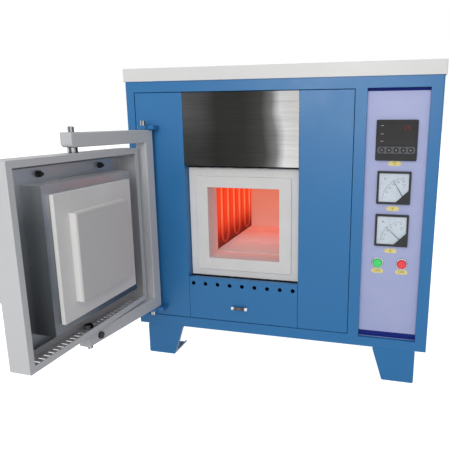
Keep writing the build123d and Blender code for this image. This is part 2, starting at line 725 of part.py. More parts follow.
with BuildPart() as lining_rear:
    block(lining_x, (CHAMBER_BACK, LINING_BACK), (LINING_BOTTOM, LINING_TOP))
    with BuildSketch(facing(CHAMBER_BACK)):
        with Locations((COLUMN_CENTRE, SHEATH_HEIGHT)):
            Circle(SHEATH_RADIUS + FIT_PLAY)
    extrude(amount=-REAR_LINING, mode=Mode.SUBTRACT)
lining_rear.part.label = "lining_rear"
save(lining_rear.part)

with BuildPart() as hearth_plate:
    block(
        (COLUMN_CENTRE - side_x + HEARTH_CLEARANCE, COLUMN_CENTRE + side_x - HEARTH_CLEARANCE),
        (MOUTH_BACK + HEARTH_CLEARANCE, CHAMBER_BACK - HEARTH_CLEARANCE),
        (CHAMBER_FLOOR, OPENING_BOTTOM),
    )
hearth_plate.part.label = "hearth_plate"
save(hearth_plate.part)

# Hairpin elements: thin hot legs joined by a bend, thick terminals up through the roof
terminal_top = CASING_TOP + TERMINAL_RISE
bend_level = ELEMENT_BOTTOM + ELEMENT_RADIUS + SHANK_SPACING / 2
with BuildPart() as hairpin:
    with BuildLine(Plane.YZ) as hairpin_path:
        Line((-SHANK_SPACING / 2, ELEMENT_SHOULDER), (-SHANK_SPACING / 2, bend_level))
        CenterArc((0, bend_level), SHANK_SPACING / 2, 180, 180)
        Line((SHANK_SPACING / 2, bend_level), (SHANK_SPACING / 2, ELEMENT_SHOULDER))
    with BuildSketch(Plane.XY.offset(ELEMENT_SHOULDER)):
        with Locations((0, -SHANK_SPACING / 2)):
            Circle(ELEMENT_RADIUS)
    sweep(path=hairpin_path.line)
    with BuildSketch(Plane.XY.offset(ELEMENT_SHOULDER)):
        with GridLocations(0, SHANK_SPACING, 1, 2):
            Circle(TERMINAL_RADIUS)
    extrude(amount=terminal_top - ELEMENT_SHOULDER)
with BuildPart() as heating_elements:
    for x, y in element_places:
        add(Pos(x, y, 0) * hairpin.part)
heating_elements.part.label = "heating_elements"
save(heating_elements.part)

with BuildPart() as element_holders:
    with BuildSketch(Plane.XY.offset(CASING_TOP)):
        with Locations(*element_places):
            RectangleRounded(HOLDER_WIDTH, HOLDER_LENGTH, HOLDER_WIDTH / 4)
        with Locations(*shank_places):
            Circle(TERMINAL_RADIUS + FIT_PLAY, mode=Mode.SUBTRACT)
    extrude(amount=HOLDER_HEIGHT)
element_holders.part.label = "element_holders"
save(element_holders.part)

# Clamps on the terminals, with straps that join the hairpins of each side in a row
clamp_base = terminal_top - CLAMP_HEIGHT - STRAP_THICKNESS
with BuildPart() as element_clamps:
    with BuildSketch(Plane.XY.offset(clamp_base)):
        with Locations(*shank_places):
            Rectangle(CLAMP_LENGTH, CLAMP_LENGTH)
            Circle(TERMINAL_RADIUS + CLAMP_PLAY, mode=Mode.SUBTRACT)
    extrude(amount=CLAMP_HEIGHT)
element_clamps.part.label = "element_clamps"
save(element_clamps.part)

with BuildPart() as element_straps:
    strap_level = clamp_base + CLAMP_HEIGHT
    strap_end = TERMINAL_RADIUS + STRAP_CLEARANCE
    for side in (-1, 1):
        x = COLUMN_CENTRE + side * ELEMENT_X
        for first, second in zip(shank_y, shank_y[1:]):
            ends = (first + SHANK_SPACING / 2, second - SHANK_SPACING / 2)
            block(
                (x - CLAMP_LENGTH / 2, x + CLAMP_LENGTH / 2),
                (ends[0] + strap_end, ends[1] - strap_end),
                (strap_level, strap_level + STRAP_THICKNESS),
            )
element_straps.part.label = "element_straps"
save(element_straps.part)

with BuildPart() as thermocouple:
    disc(
        facing(CHAMBER_BACK - SHEATH_REACH),
        (COLUMN_CENTRE, SHEATH_HEIGHT),
        SHEATH_RADIUS,
        -(SHEATH_REACH + REAR_LINING + THIN_SHEET),
    )
    disc(facing(CASING_BACK), (COLUMN_CENTRE, SHEATH_HEIGHT), HEAD_RADIUS, -HEAD_LENGTH)
thermocouple.part.label = "thermocouple"
save(thermocouple.part)

# Electrical compartment
with BuildPart() as partition:
    block(
        (PARTITION_X, PARTITION_X + THIN_SHEET),
        (FRAME_RETURN, CABINET_DEPTH - SHEET),
        (FOOT_HEIGHT + SHEET, SHELL_TOP),
    )
    block(
        (PARTITION_X, PARTITION_X + BASE_EDGE),
        (FRAME_RETURN + SHEET, CABINET_DEPTH - 2 * SHEET),
        (FOOT_HEIGHT + SHEET, FOOT_HEIGHT + SHEET + THIN_SHEET),
    )
    block(
        (PARTITION_X, PARTITION_X + THIN_SHEET),
        (FRAME_RETURN, FRAME_RETURN + SHEET),
        (FOOT_HEIGHT + SHEET, FOOT_HEIGHT + BASE_EDGE),
        mode=Mode.SUBTRACT,
    )
    block(
        (PARTITION_X, PARTITION_X + THIN_SHEET),
        (CABINET_DEPTH - 2 * SHEET, CABINET_DEPTH - SHEET),
        (FOOT_HEIGHT + SHEET, FOOT_HEIGHT + BASE_EDGE),
        mode=Mode.SUBTRACT,
    )
partition.part.label = "partition"
save(partition.part)

controller_centre = (CONTROLLER_LEFT + CONTROLLER_SIZE / 2, CONTROLLER_TOP - CONTROLLER_SIZE / 2)
voltmeter_centre = (METER_CENTRE_X, VOLTMETER_TOP - METER_SIZE / 2)
ammeter_centre = (METER_CENTRE_X, AMMETER_TOP - METER_SIZE / 2)
button_places = [(START_X, BUTTON_HEIGHT), (STOP_X, BUTTON_HEIGHT)]
sleeve_outer = BUTTON_RADIUS + BUTTON_PLAY + SLEEVE_WALL

with BuildPart() as control_panel:
    block(
        (RECESS_LEFT - SHEET, RECESS_RIGHT + SHEET),
        (PANEL_Y, PANEL_Y + SHEET),
        (RECESS_BOTTOM - SHEET, RECESS_TOP + SHEET),
    )
    with BuildSketch(facing(PANEL_Y)):
        with Locations(controller_centre):
            Rectangle(CONTROLLER_BODY + 2 * FIT_PLAY, CONTROLLER_BODY + 2 * FIT_PLAY)
        with Locations(voltmeter_centre, ammeter_centre):
            Circle(METER_BODY_RADIUS + FIT_PLAY)
        with Locations(*button_places):
            Circle(sleeve_outer + FIT_PLAY)
    extrude(amount=-SHEET, mode=Mode.SUBTRACT)
control_panel.part.label = "control_panel"
save(control_panel.part)

# Temperature controller: bezel and body in one moulding, window, and five keys in their holes
key_places = [
    (controller_centre[0] + (i - (KEY_COUNT - 1) / 2) * KEY_PITCH, CONTROLLER_TOP - KEY_DROP)
    for i in range(KEY_COUNT)
]
controller_face = PANEL_Y - CONTROLLER_PROUD
with BuildPart() as controller_case:
    with BuildSketch(facing(PANEL_Y)):
        with Locations(controller_centre):
            RectangleRounded(CONTROLLER_SIZE, CONTROLLER_SIZE, CORNER_RADIUS)
    extrude(amount=CONTROLLER_PROUD)
    chamfer(controller_case.faces().sort_by(Axis.Y)[0].edges(), CONTROLLER_EDGE)
    with BuildSketch(facing(PANEL_Y)):
        with Locations(controller_centre):
            Rectangle(CONTROLLER_BODY, CONTROLLER_BODY)
    extrude(amount=-CONTROLLER_DEPTH)
    with BuildSketch(facing(controller_face)):
        with Locations((controller_centre[0], CONTROLLER_TOP - WINDOW_DROP - WINDOW_HEIGHT / 2)):
            Rectangle(CONTROLLER_SIZE - 2 * WINDOW_INSET, WINDOW_HEIGHT)
    extrude(amount=-GLASS_THICKNESS, mode=Mode.SUBTRACT)
    with BuildSketch(facing(controller_face)):
        with Locations(*key_places):
            Circle(KEY_RADIUS + SLIDE_PLAY)
    extrude(amount=-(KEY_LENGTH + KEY_TRAVEL), mode=Mode.SUBTRACT)
controller_case.part.label = "controller_case"
save(controller_case.part)

with BuildPart() as controller_window:
    with BuildSketch(facing(controller_face + GLASS_THICKNESS)):
        with Locations((controller_centre[0], CONTROLLER_TOP - WINDOW_DROP - WINDOW_HEIGHT / 2)):
            Rectangle(CONTROLLER_SIZE - 2 * WINDOW_INSET, WINDOW_HEIGHT)
    extrude(amount=GLASS_THICKNESS)
controller_window.part.label = "controller_window"
save(controller_window.part)

for number, place in enumerate(key_places, start=1):
    with BuildPart() as key:
        disc(facing(controller_face - KEY_PROUD), place, KEY_RADIUS, -KEY_LENGTH)
        chamfer(key.edges().group_by(Axis.Y)[0], KEY_EDGE)
    key.part.label = f"key_{number}"
    save(key.part)

# Panel meters: moulded case with a covered corner, dial with its spindle, glass and needle
meter_face = PANEL_Y - METER_PROUD
glass_front = meter_face + GLASS_SETBACK
dial_front = meter_face + DIAL_SETBACK
inner_size = METER_SIZE - 2 * METER_BORDER
with BuildPart() as meter_cases:
    for centre in (voltmeter_centre, ammeter_centre):
        with BuildSketch(facing(PANEL_Y)):
            with Locations(centre):
                RectangleRounded(METER_SIZE, METER_SIZE, CORNER_RADIUS / 2)
        extrude(amount=METER_PROUD)
        disc(facing(PANEL_Y), centre, METER_BODY_RADIUS, -METER_BODY_DEPTH)
        with BuildSketch(facing(meter_face)):
            with Locations(centre):
                Rectangle(inner_size, inner_size)
        extrude(amount=-(DIAL_SETBACK + DIAL_THICKNESS), mode=Mode.SUBTRACT)
        corner = (centre[0] + inner_size / 2, centre[1] - inner_size / 2)
        with BuildSketch(facing(glass_front)) as corner_cover:
            with BuildLine():
                Polyline(
                    corner,
                    (corner[0], corner[1] + METER_CORNER),
                    (corner[0] - METER_CORNER, corner[1]),
                    close=True,
                )
            make_face()
        extrude(amount=GLASS_SETBACK)
meter_cases.part.label = "meter_cases"
save(meter_cases.part)

with BuildPart() as meter_dials:
    for centre in (voltmeter_centre, ammeter_centre):
        with BuildSketch(facing(dial_front + DIAL_THICKNESS)):
            with Locations(centre):
                Rectangle(inner_size, inner_size)
        extrude(amount=DIAL_THICKNESS)
        spindle = (centre[0] + NEEDLE_PIVOT_X, centre[1] + NEEDLE_PIVOT_Z)
        disc(facing(dial_front), spindle, SPINDLE_RADIUS, NEEDLE_LIFT + NEEDLE_THICKNESS + 0.5)
meter_dials.part.label = "meter_dials"
save(meter_dials.part)

with BuildPart() as meter_glasses:
    for centre in (voltmeter_centre, ammeter_centre):
        with BuildSketch(facing(glass_front + GLASS_THICKNESS)):
            with Locations(centre):
                Rectangle(inner_size, inner_size)
        extrude(amount=GLASS_THICKNESS)
meter_glasses.part.label = "meter_glasses"
save(meter_glasses.part)

for name, centre, angle in (
    ("voltmeter_needle", voltmeter_centre, VOLTMETER_ANGLE),
    ("ammeter_needle", ammeter_centre, AMMETER_ANGLE),
):
    needle_plane = Plane(
        origin=(centre[0] + NEEDLE_PIVOT_X, dial_front - NEEDLE_LIFT, centre[1] + NEEDLE_PIVOT_Z),
        x_dir=(-cos(radians(angle)), 0, sin(radians(angle))),
        z_dir=(0, -1, 0),
    )
    with BuildPart() as needle:
        with BuildSketch(needle_plane):
            with BuildLine():
                Polyline(
                    (-NEEDLE_TAIL, -NEEDLE_WIDTH),
                    (-NEEDLE_TAIL, NEEDLE_WIDTH),
                    (NEEDLE_LENGTH, NEEDLE_WIDTH / 4),
                    (NEEDLE_LENGTH, -NEEDLE_WIDTH / 4),
                    close=True,
                )
            make_face()
            Circle(NEEDLE_HUB)
            Circle(SPINDLE_RADIUS + RUNNING_PLAY, mode=Mode.SUBTRACT)
        extrude(amount=NEEDLE_THICKNESS)
    needle.part.label = name
    save(needle.part)

# Push buttons: bezel with its sleeve through the panel, contact block behind, domed cap
with BuildPart() as button_bezels:
    for place in button_places:
        disc(facing(PANEL_Y), place, BEZEL_RADIUS, BEZEL_PROUD)
        disc(facing(PANEL_Y), place, sleeve_outer, -SLEEVE_DEPTH)
        disc(
            facing(PANEL_Y - BEZEL_PROUD),
            place,
            BUTTON_RADIUS + BUTTON_PLAY,
            -(BEZEL_PROUD + SLEEVE_DEPTH),
            mode=Mode.SUBTRACT,
        )
    chamfer(button_bezels.edges().filter_by(GeomType.CIRCLE).group_by(Axis.Y)[0], BEZEL_EDGE)
button_bezels.part.label = "button_bezels"
save(button_bezels.part)

with BuildPart() as contact_blocks:
    with BuildSketch(facing(PANEL_Y + SLEEVE_DEPTH)):
        with Locations(*button_places):
            Rectangle(CONTACT_SIZE, CONTACT_SIZE)
    extrude(amount=-CONTACT_DEPTH)
contact_blocks.part.label = "contact_blocks"
save(contact_blocks.part)

cap_front = PANEL_Y - BEZEL_PROUD - BUTTON_PROUD
cap_length = PANEL_Y + SLEEVE_DEPTH - BUTTON_TRAVEL - SLIDE_PLAY - cap_front
for name, place in (("start_button", button_places[0]), ("stop_button", button_places[1])):
    with BuildPart() as cap:
        disc(facing(cap_front), place, BUTTON_RADIUS, -cap_length)
        fillet(cap.edges().filter_by(GeomType.CIRCLE).group_by(Axis.Y)[0], BUTTON_EDGE)
    cap.part.label = name
    save(cap.part)

# Transformer, power unit, fan and gland
transformer_x = (PARTITION_X + THIN_SHEET + HALF_WIDTH - SHEET) / 2
floor_level = FOOT_HEIGHT + SHEET
with BuildPart() as transformer:
    core_x = (transformer_x - TRANSFORMER_WIDTH / 2, transformer_x + TRANSFORMER_WIDTH / 2)
    core_y = (TRANSFORMER_Y, TRANSFORMER_Y + TRANSFORMER_DEPTH)
    block(core_x, core_y, (floor_level, floor_level + TRANSFORMER_HEIGHT))
    coil_z = floor_level + (TRANSFORMER_HEIGHT - COIL_HEIGHT) / 2
    with BuildSketch(Plane.XY.offset(coil_z)):
        with Locations((transformer_x, TRANSFORMER_Y + TRANSFORMER_DEPTH / 2)):
            RectangleRounded(COIL_WIDTH, TRANSFORMER_DEPTH + 2 * COIL_BULGE, COIL_BULGE)
    extrude(amount=COIL_HEIGHT)
transformer.part.label = "transformer"
save(transformer.part)

with BuildPart() as power_unit:
    unit_back = PARTITION_X + THIN_SHEET
    unit_y = (POWER_UNIT_Y, POWER_UNIT_Y + POWER_UNIT_WIDTH)
    unit_z = (POWER_UNIT_Z, POWER_UNIT_Z + POWER_UNIT_HEIGHT)
    block((unit_back, unit_back + HEATSINK_BASE), unit_y, unit_z)
    fin_pitch = (POWER_UNIT_WIDTH - SHEET) / (HEATSINK_FINS - 1)
    for i in range(HEATSINK_FINS):
        y = unit_y[0] + i * fin_pitch
        block(
            (unit_back + HEATSINK_BASE, unit_back + HEATSINK_BASE + HEATSINK_FIN),
            (y, y + SHEET),
            unit_z,
        )
power_unit.part.label = "power_unit"
save(power_unit.part)

fan_back = CABINET_DEPTH - SHEET
fan_front = fan_back - FAN_DEPTH
with BuildPart() as fan_housing:
    with BuildSketch(facing(fan_back)):
        with Locations((FAN_X, FAN_Z)):
            RectangleRounded(FAN_SIZE, FAN_SIZE, FAN_CORNER)
            Circle(FAN_BORE, mode=Mode.SUBTRACT)
    extrude(amount=FAN_DEPTH)
    with BuildSketch(facing(fan_front + SHEET)):
        with Locations((FAN_X, FAN_Z)):
            Circle(FAN_HUB)
            with PolarLocations(FAN_BORE / 2, 3):
                Rectangle(FAN_BORE + SHEET, FAN_SPIDER)
    extrude(amount=SHEET)
    disc(facing(fan_front + SHEET), (FAN_X, FAN_Z), FAN_SHAFT_RADIUS, -(FAN_DEPTH - 4 * SHEET))
fan_housing.part.label = "fan_housing"
save(fan_housing.part)

with BuildPart() as fan_rotor:
    rotor_front = fan_front + SHEET + FAN_TIP_PLAY
    rotor_length = FAN_DEPTH - 3 * SHEET - 2 * FAN_TIP_PLAY
    with BuildSketch(facing(rotor_front)):
        with Locations((FAN_X, FAN_Z)):
            Circle(FAN_HUB)
            Circle(FAN_SHAFT_RADIUS + RUNNING_PLAY, mode=Mode.SUBTRACT)
    extrude(amount=-rotor_length)
    blade_length = FAN_BORE - FAN_TIP_PLAY - FAN_HUB + SHEET
    blade_middle = rotor_front + rotor_length / 2
    for i in range(FAN_BLADES):
        turn = 360 / FAN_BLADES * i
        blade_plane = Plane(
            origin=(FAN_X, blade_middle, FAN_Z),
            x_dir=(0, 1, 0),
            z_dir=(cos(radians(turn)), 0, sin(radians(turn))),
        )
        with BuildSketch(blade_plane.offset(FAN_HUB - SHEET)) as blade_section:
            Rectangle(FAN_BLADE_CHORD, SHEET, rotation=FAN_BLADE_TWIST)
        extrude(to_extrude=blade_section.sketch, amount=blade_length)
fan_rotor.part.label = "fan_rotor"
save(fan_rotor.part)

with BuildPart() as cable_gland:
    gland_start = fan_back - GLAND_NUT_THICKNESS
    gland_length = CABINET_DEPTH + GLAND_LENGTH - gland_start
    gland_at = (GLAND_X, GLAND_Z)
    disc(facing(gland_start), gland_at, GLAND_THREAD_RADIUS - FIT_PLAY, -gland_length)
    nut(facing(fan_back), gland_at, GLAND_NUT_WIDTH, GLAND_NUT_THICKNESS)
    nut(facing(CABINET_DEPTH), gland_at, GLAND_NUT_WIDTH, -GLAND_HEX_LENGTH)
    disc(facing(CABINET_DEPTH), gland_at, GLAND_BODY_RADIUS, -GLAND_LENGTH)
    disc(facing(gland_start), gland_at, GLAND_BORE, -gland_length, mode=Mode.SUBTRACT)
cable_gland.part.label = "cable_gland"
save(cable_gland.part)

# Hinge brackets on the left front panel, and the pins fixed in them
pin_place = (HINGE_X, HINGE_Y)
bracket_levels = (
    (ARM_TOP + BRACKET_GAP, 1),
    (ARM_BOTTOM - BRACKET_GAP, -1),
)
bracket_middle = HINGE_X - BRACKET_RADIUS + BRACKET_WIDTH / 2
with BuildPart() as hinge_brackets:
    for level, up in bracket_levels:
        with BuildSketch(Plane.XY.offset(level)) as lug:
            with Locations(pin_place):
                Circle(BRACKET_RADIUS)
            with Locations((bracket_middle, (HINGE_Y + PANEL_SETBACK) / 2)):
                Rectangle(BRACKET_WIDTH, PANEL_SETBACK - HINGE_Y)
        extrude(to_extrude=lug.sketch, amount=up * BRACKET_THICKNESS)
        pin_hole = up * BRACKET_THICKNESS
        disc(Plane.XY.offset(level), pin_place, PIN_RADIUS, pin_hole, mode=Mode.SUBTRACT)
hinge_brackets.part.label = "hinge_brackets"
save(hinge_brackets.part)

with BuildPart() as hinge_pins:
    pin_length = ARM_TUBE + BRACKET_GAP + BRACKET_THICKNESS + HINGE_PIN_PROUD
    disc(Plane.XY.offset(ARM_TOP - ARM_TUBE), pin_place, PIN_RADIUS, pin_length)
    disc(Plane.XY.offset(ARM_BOTTOM + ARM_TUBE), pin_place, PIN_RADIUS, -pin_length)
    ends = hinge_pins.edges().filter_by(GeomType.CIRCLE).group_by(Axis.Z)
    chamfer([ends[0], ends[-1]], PIN_EDGE)
hinge_pins.part.label = "hinge_pins"
save(hinge_pins.part)

# Arm: a C of square tube, with bushes for the hinge pins and for the door's pivot pins
pivot_place = (DOOR_CENTRE, HINGE_Y)
arm_x = (HINGE_X - ARM_END, DOOR_CENTRE + ARM_END)
arm_y = (HINGE_Y - ARM_TUBE / 2, HINGE_Y + ARM_TUBE / 2)
arm_z = (ARM_BOTTOM, ARM_TOP)


def arm_profile(inset):
    """The C outline of the arm on its own middle plane, drawn inset from the outside."""
    inner_x = HINGE_X + ARM_UPRIGHT_INNER
    with BuildSketch(facing(HINGE_Y)) as outline:
        with BuildLine():
            Polyline(
                (arm_x[0] + inset, arm_z[0] + inset),
                (arm_x[1] - inset, arm_z[0] + inset),
                (arm_x[1] - inset, arm_z[0] + ARM_TUBE - inset),
                (inner_x - inset, arm_z[0] + ARM_TUBE - inset),
                (inner_x - inset, arm_z[1] - ARM_TUBE + inset),
                (arm_x[1] - inset, arm_z[1] - ARM_TUBE + inset),
                (arm_x[1] - inset, arm_z[1] - inset),
                (arm_x[0] + inset, arm_z[1] - inset),
                close=True,
            )
        make_face()
    return outline.sketch


with BuildPart() as door_arm:
    extrude(to_extrude=arm_profile(0), amount=ARM_TUBE / 2, both=True)
    tip_edges = door_arm.edges().filter_by(Axis.Y).group_by(Axis.X)[-1].sort_by(Axis.Z)
    fillet([tip_edges[1], tip_edges[2]], ARM_TIP_ROUND)
    long_edges = door_arm.edges().filter_by(Axis.X) + door_arm.edges().filter_by(Axis.Z)
    fillet(long_edges, ARM_EDGE)
    extrude(
        to_extrude=arm_profile(ARM_WALL),
        amount=ARM_TUBE / 2 - ARM_WALL,
        both=True,
        mode=Mode.SUBTRACT,
    )
    for place in (pin_place, pivot_place):
        for level in (ARM_BOTTOM, ARM_TOP - ARM_TUBE):
            disc(Plane.XY.offset(level), place, BUSH_RADIUS, ARM_TUBE, mode=Mode.SUBTRACT)
door_arm.part.label = "door_arm"
save(door_arm.part, arm_pose)

with BuildPart() as arm_bushes:
    for level in (ARM_BOTTOM, ARM_TOP - ARM_TUBE):
        with BuildSketch(Plane.XY.offset(level)):
            with Locations(pin_place, pivot_place):
                Circle(BUSH_RADIUS)
                Circle(PIN_RADIUS + RUNNING_PLAY, mode=Mode.SUBTRACT)
        extrude(amount=ARM_TUBE)
arm_bushes.part.label = "arm_bushes"
save(arm_bushes.part, arm_pose)

with BuildPart() as lock_screw:
    lock_at = (DOOR_CENTRE - LOCK_OFFSET, ARM_BOTTOM + ARM_TUBE / 2)
    disc(facing(arm_y[1]), lock_at, LOCK_RADIUS, -LOCK_PROUD)
    chamfer(lock_screw.edges().group_by(Axis.Y)[-1], LOCK_EDGE)
lock_screw.part.label = "lock_screw"
save(lock_screw.part, arm_pose)

# Door shell: a deep folded sheet tray with an inward lip and slotted top and bottom walls
door_x = (DOOR_CENTRE - DOOR_HALF_WIDTH, DOOR_CENTRE + DOOR_HALF_WIDTH)
door_z = (DOOR_BOTTOM, DOOR_TOP)
with BuildPart() as door_shell:
    block(door_x, (DOOR_BACK, DOOR_RIM), door_z)
    fillet(door_shell.edges().filter_by(Axis.Y), DOOR_EDGE)
    fillet(door_shell.faces().sort_by(Axis.Y)[0].edges(), DOOR_EDGE)
    block(
        (door_x[0] + SHEET, door_x[1] - SHEET),
        (DOOR_BACK + SHEET, DOOR_RIM - SHEET),
        (door_z[0] + SHEET, door_z[1] - SHEET),
        mode=Mode.SUBTRACT,
    )
    block(
        (door_x[0] + DOOR_LIP, door_x[1] - DOOR_LIP),
        (DOOR_RIM - SHEET, DOOR_RIM),
        (door_z[0] + DOOR_LIP, door_z[1] - DOOR_LIP),
        mode=Mode.SUBTRACT,
    )
    slot_y = (DOOR_BACK + DOOR_RIM) / 2
    with BuildSketch(Plane.XY.offset(DOOR_BOTTOM)) as slots:
        with Locations((DOOR_CENTRE, slot_y)):
            with GridLocations(SLOT_PITCH, 0, SLOT_COUNT, 1):
                Rectangle(SLOT_WIDTH, SLOT_LENGTH)
        with Locations(pivot_place):
            Rectangle(SLOT_FREE_WIDTH, SLOT_LENGTH, mode=Mode.SUBTRACT)
            Circle(PIN_RADIUS)
    extrude(to_extrude=slots.sketch, amount=DOOR_TOP - DOOR_BOTTOM, mode=Mode.SUBTRACT)
door_shell.part.label = "door_shell"
save(door_shell.part, door_pose)

# Stainless pan in the door, flanged at its back and open in front behind the board
stud_places = [
    (DOOR_CENTRE + side * STUD_X, LINER_MIDDLE + rise * STRAP_BAR_RISE)
    for side in (-1, 1)
    for rise in (-1, 1)
]
liner_x = (DOOR_CENTRE - LINER_HALF, DOOR_CENTRE + LINER_HALF)
liner_z = (LINER_MIDDLE - LINER_HALF, LINER_MIDDLE + LINER_HALF)
with BuildPart() as door_liner:
    block(liner_x, (LINER_BACK, LINER_FRONT), liner_z)
    block(
        (liner_x[0] - LINER_FLANGE, liner_x[1] + LINER_FLANGE),
        (LINER_BACK, LINER_BACK + THIN_SHEET),
        (liner_z[0] - LINER_FLANGE, liner_z[1] + LINER_FLANGE),
    )
    block(
        (liner_x[0] + THIN_SHEET, liner_x[1] - THIN_SHEET),
        (LINER_BACK, LINER_FRONT - THIN_SHEET),
        (liner_z[0] + THIN_SHEET, liner_z[1] - THIN_SHEET),
        mode=Mode.SUBTRACT,
    )
    with BuildSketch(facing(LINER_FRONT - THIN_SHEET)):
        with Locations((DOOR_CENTRE, LINER_MIDDLE)):
            Rectangle(2 * LINER_WINDOW_HALF, 2 * LINER_WINDOW_HALF)
    extrude(amount=-THIN_SHEET, mode=Mode.SUBTRACT)
    with BuildSketch(facing(LINER_BACK)):
        with Locations(*stud_places):
            Circle(STUD_RADIUS + FIT_PLAY)
    extrude(amount=-THIN_SHEET, mode=Mode.SUBTRACT)
door_liner.part.label = "door_liner"
save(door_liner.part, door_pose)

# Moulded insulation: filling the pan, then the board and the plug that enters the mouth
with BuildPart() as door_plug:
    with BuildSketch(facing(LINER_BACK)):
        with Locations((DOOR_CENTRE, LINER_MIDDLE)):
            Rectangle(2 * (LINER_HALF - THIN_SHEET), 2 * (LINER_HALF - THIN_SHEET))
    extrude(amount=-(LINER_DEPTH - THIN_SHEET))
    for start, level, half, thickness in (
        (LINER_FRONT - THIN_SHEET, LINER_MIDDLE, LINER_WINDOW_HALF, THIN_SHEET),
        (LINER_FRONT, LINER_MIDDLE, BOARD_HALF, BOARD_THICKNESS),
        (LINER_FRONT + BOARD_THICKNESS, OPENING_MIDDLE, PLUG_HALF, PLUG_THICKNESS),
    ):
        with BuildSketch(facing(start)):
            with Locations((DOOR_CENTRE, level)):
                Rectangle(2 * half, 2 * half)
        extrude(amount=-thickness)
    fillet(door_plug.faces().sort_by(Axis.Y)[-1].edges(), PLUG_EDGE)
door_plug.part.label = "door_plug"
save(door_plug.part, door_pose)

# Flat bars behind the pan's flange, held to the shell by studs with nuts on both sides
with BuildPart() as door_straps:
    with BuildSketch(facing(LINER_BACK)):
        with Locations((DOOR_CENTRE, LINER_MIDDLE)):
            with GridLocations(0, 2 * STRAP_BAR_RISE, 1, 2):
                Rectangle(2 * STRAP_BAR_HALF, STRAP_BAR_HEIGHT)
        with Locations(*stud_places):
            Circle(STUD_RADIUS + FIT_PLAY, mode=Mode.SUBTRACT)
    extrude(amount=STRAP_BAR_THICKNESS)
door_straps.part.label = "door_straps"
save(door_straps.part, door_pose)

with BuildPart() as door_studs:
    stud_start = DOOR_BACK + SHEET
    stud_length = LINER_BACK + THIN_SHEET + STUD_PROUD - stud_start
    for place in stud_places:
        nut(facing(stud_start), place, NUT_WIDTH, -(STRAP_BACK - stud_start))
        disc(facing(stud_start), place, STUD_RADIUS, -stud_length)
        nut(facing(LINER_BACK + THIN_SHEET), place, NUT_WIDTH, -NUT_THICKNESS)
door_studs.part.label = "door_studs"
save(door_studs.part, door_pose)

# Pivot pins clamped in the shell's top and bottom walls and turning in the arm's bushes
with BuildPart() as pivot_pins:
    for wall, arm_face, out in (
        (DOOR_TOP, ARM_TOP - ARM_TUBE, 1),
        (DOOR_BOTTOM, ARM_BOTTOM + ARM_TUBE, -1),
    ):
        lining = Plane.XY.offset(wall - out * SHEET)
        inside = wall - out * (SHEET + PIVOT_NUT_THICKNESS)
        outside = arm_face + out * (ARM_TUBE + PIVOT_PIN_PROUD)
        spacer = abs(arm_face - wall) - WASHER_GAP
        disc(Plane.XY.offset(inside), pivot_place, PIN_RADIUS, outside - inside)
        nut(lining, pivot_place, PIVOT_NUT_WIDTH, -out * PIVOT_NUT_THICKNESS)
        disc(Plane.XY.offset(wall), pivot_place, WASHER_RADIUS, out * spacer)
    ends = pivot_pins.edges().filter_by(GeomType.CIRCLE).group_by(Axis.Z)
    chamfer([ends[0], ends[-1]], PIN_EDGE)
pivot_pins.part.label = "pivot_pins"
save(pivot_pins.part, door_pose)

# Bow handle on the outside of the door, near its free edge
with BuildPart() as door_handle:
    grip_y = DOOR_BACK - HANDLE_STANDOFF
    with BuildLine() as handle_path:
        FilletPolyline(
            (DOOR_CENTRE + HANDLE_X, DOOR_BACK, DOOR_MIDDLE - HANDLE_LENGTH / 2),
            (DOOR_CENTRE + HANDLE_X, grip_y, DOOR_MIDDLE - HANDLE_LENGTH / 2),
            (DOOR_CENTRE + HANDLE_X, grip_y, DOOR_MIDDLE + HANDLE_LENGTH / 2),
            (DOOR_CENTRE + HANDLE_X, DOOR_BACK, DOOR_MIDDLE + HANDLE_LENGTH / 2),
            radius=HANDLE_BEND,
        )
    with BuildSketch(facing(DOOR_BACK)):
        with Locations((DOOR_CENTRE + HANDLE_X, DOOR_MIDDLE - HANDLE_LENGTH / 2)):
            Circle(HANDLE_RADIUS)
    sweep(path=handle_path.line)
door_handle.part.label = "door_handle"
save(door_handle.part, door_pose)
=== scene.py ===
import json
import math

import bmesh
import bpy
from mathutils import Matrix, Vector
from mathutils.geometry import tessellate_polygon


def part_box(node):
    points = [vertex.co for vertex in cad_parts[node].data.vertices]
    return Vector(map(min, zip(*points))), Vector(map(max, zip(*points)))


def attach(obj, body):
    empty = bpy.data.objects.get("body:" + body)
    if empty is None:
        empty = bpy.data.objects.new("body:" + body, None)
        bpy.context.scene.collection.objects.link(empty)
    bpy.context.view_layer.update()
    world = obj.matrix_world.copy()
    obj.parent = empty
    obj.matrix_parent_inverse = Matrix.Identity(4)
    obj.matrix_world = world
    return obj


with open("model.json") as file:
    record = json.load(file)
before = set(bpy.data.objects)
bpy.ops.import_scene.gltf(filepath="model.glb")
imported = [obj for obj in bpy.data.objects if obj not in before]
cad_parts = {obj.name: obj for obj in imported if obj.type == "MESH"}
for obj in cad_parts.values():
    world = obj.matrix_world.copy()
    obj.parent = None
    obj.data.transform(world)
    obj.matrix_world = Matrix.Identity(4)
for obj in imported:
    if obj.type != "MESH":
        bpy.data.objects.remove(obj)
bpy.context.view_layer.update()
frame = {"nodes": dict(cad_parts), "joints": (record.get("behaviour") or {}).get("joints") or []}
nodes = frame["nodes"]
joints = {joint["name"]: joint for joint in frame["joints"]}

MM = 0.001

# The cabinet's own corner of the frame: middle of its front face, on the floor
cabinet_low, cabinet_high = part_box("front_frame")
CENTRE_X = (cabinet_low.x + cabinet_high.x) / 2
FRONT_Y = cabinet_low.y


def middle(node):
    """The centre of a node's box, in metres."""
    low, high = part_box(node)
    return (low + high) / 2


def linear(*channels):
    """A display colour, each channel from 0 to 255, as the linear colour that a shader takes."""
    shares = [channel / 255 for channel in channels]
    return tuple(
        share / 12.92 if share <= 0.04045 else ((share + 0.055) / 1.055) ** 2.4
        for share in shares
    )


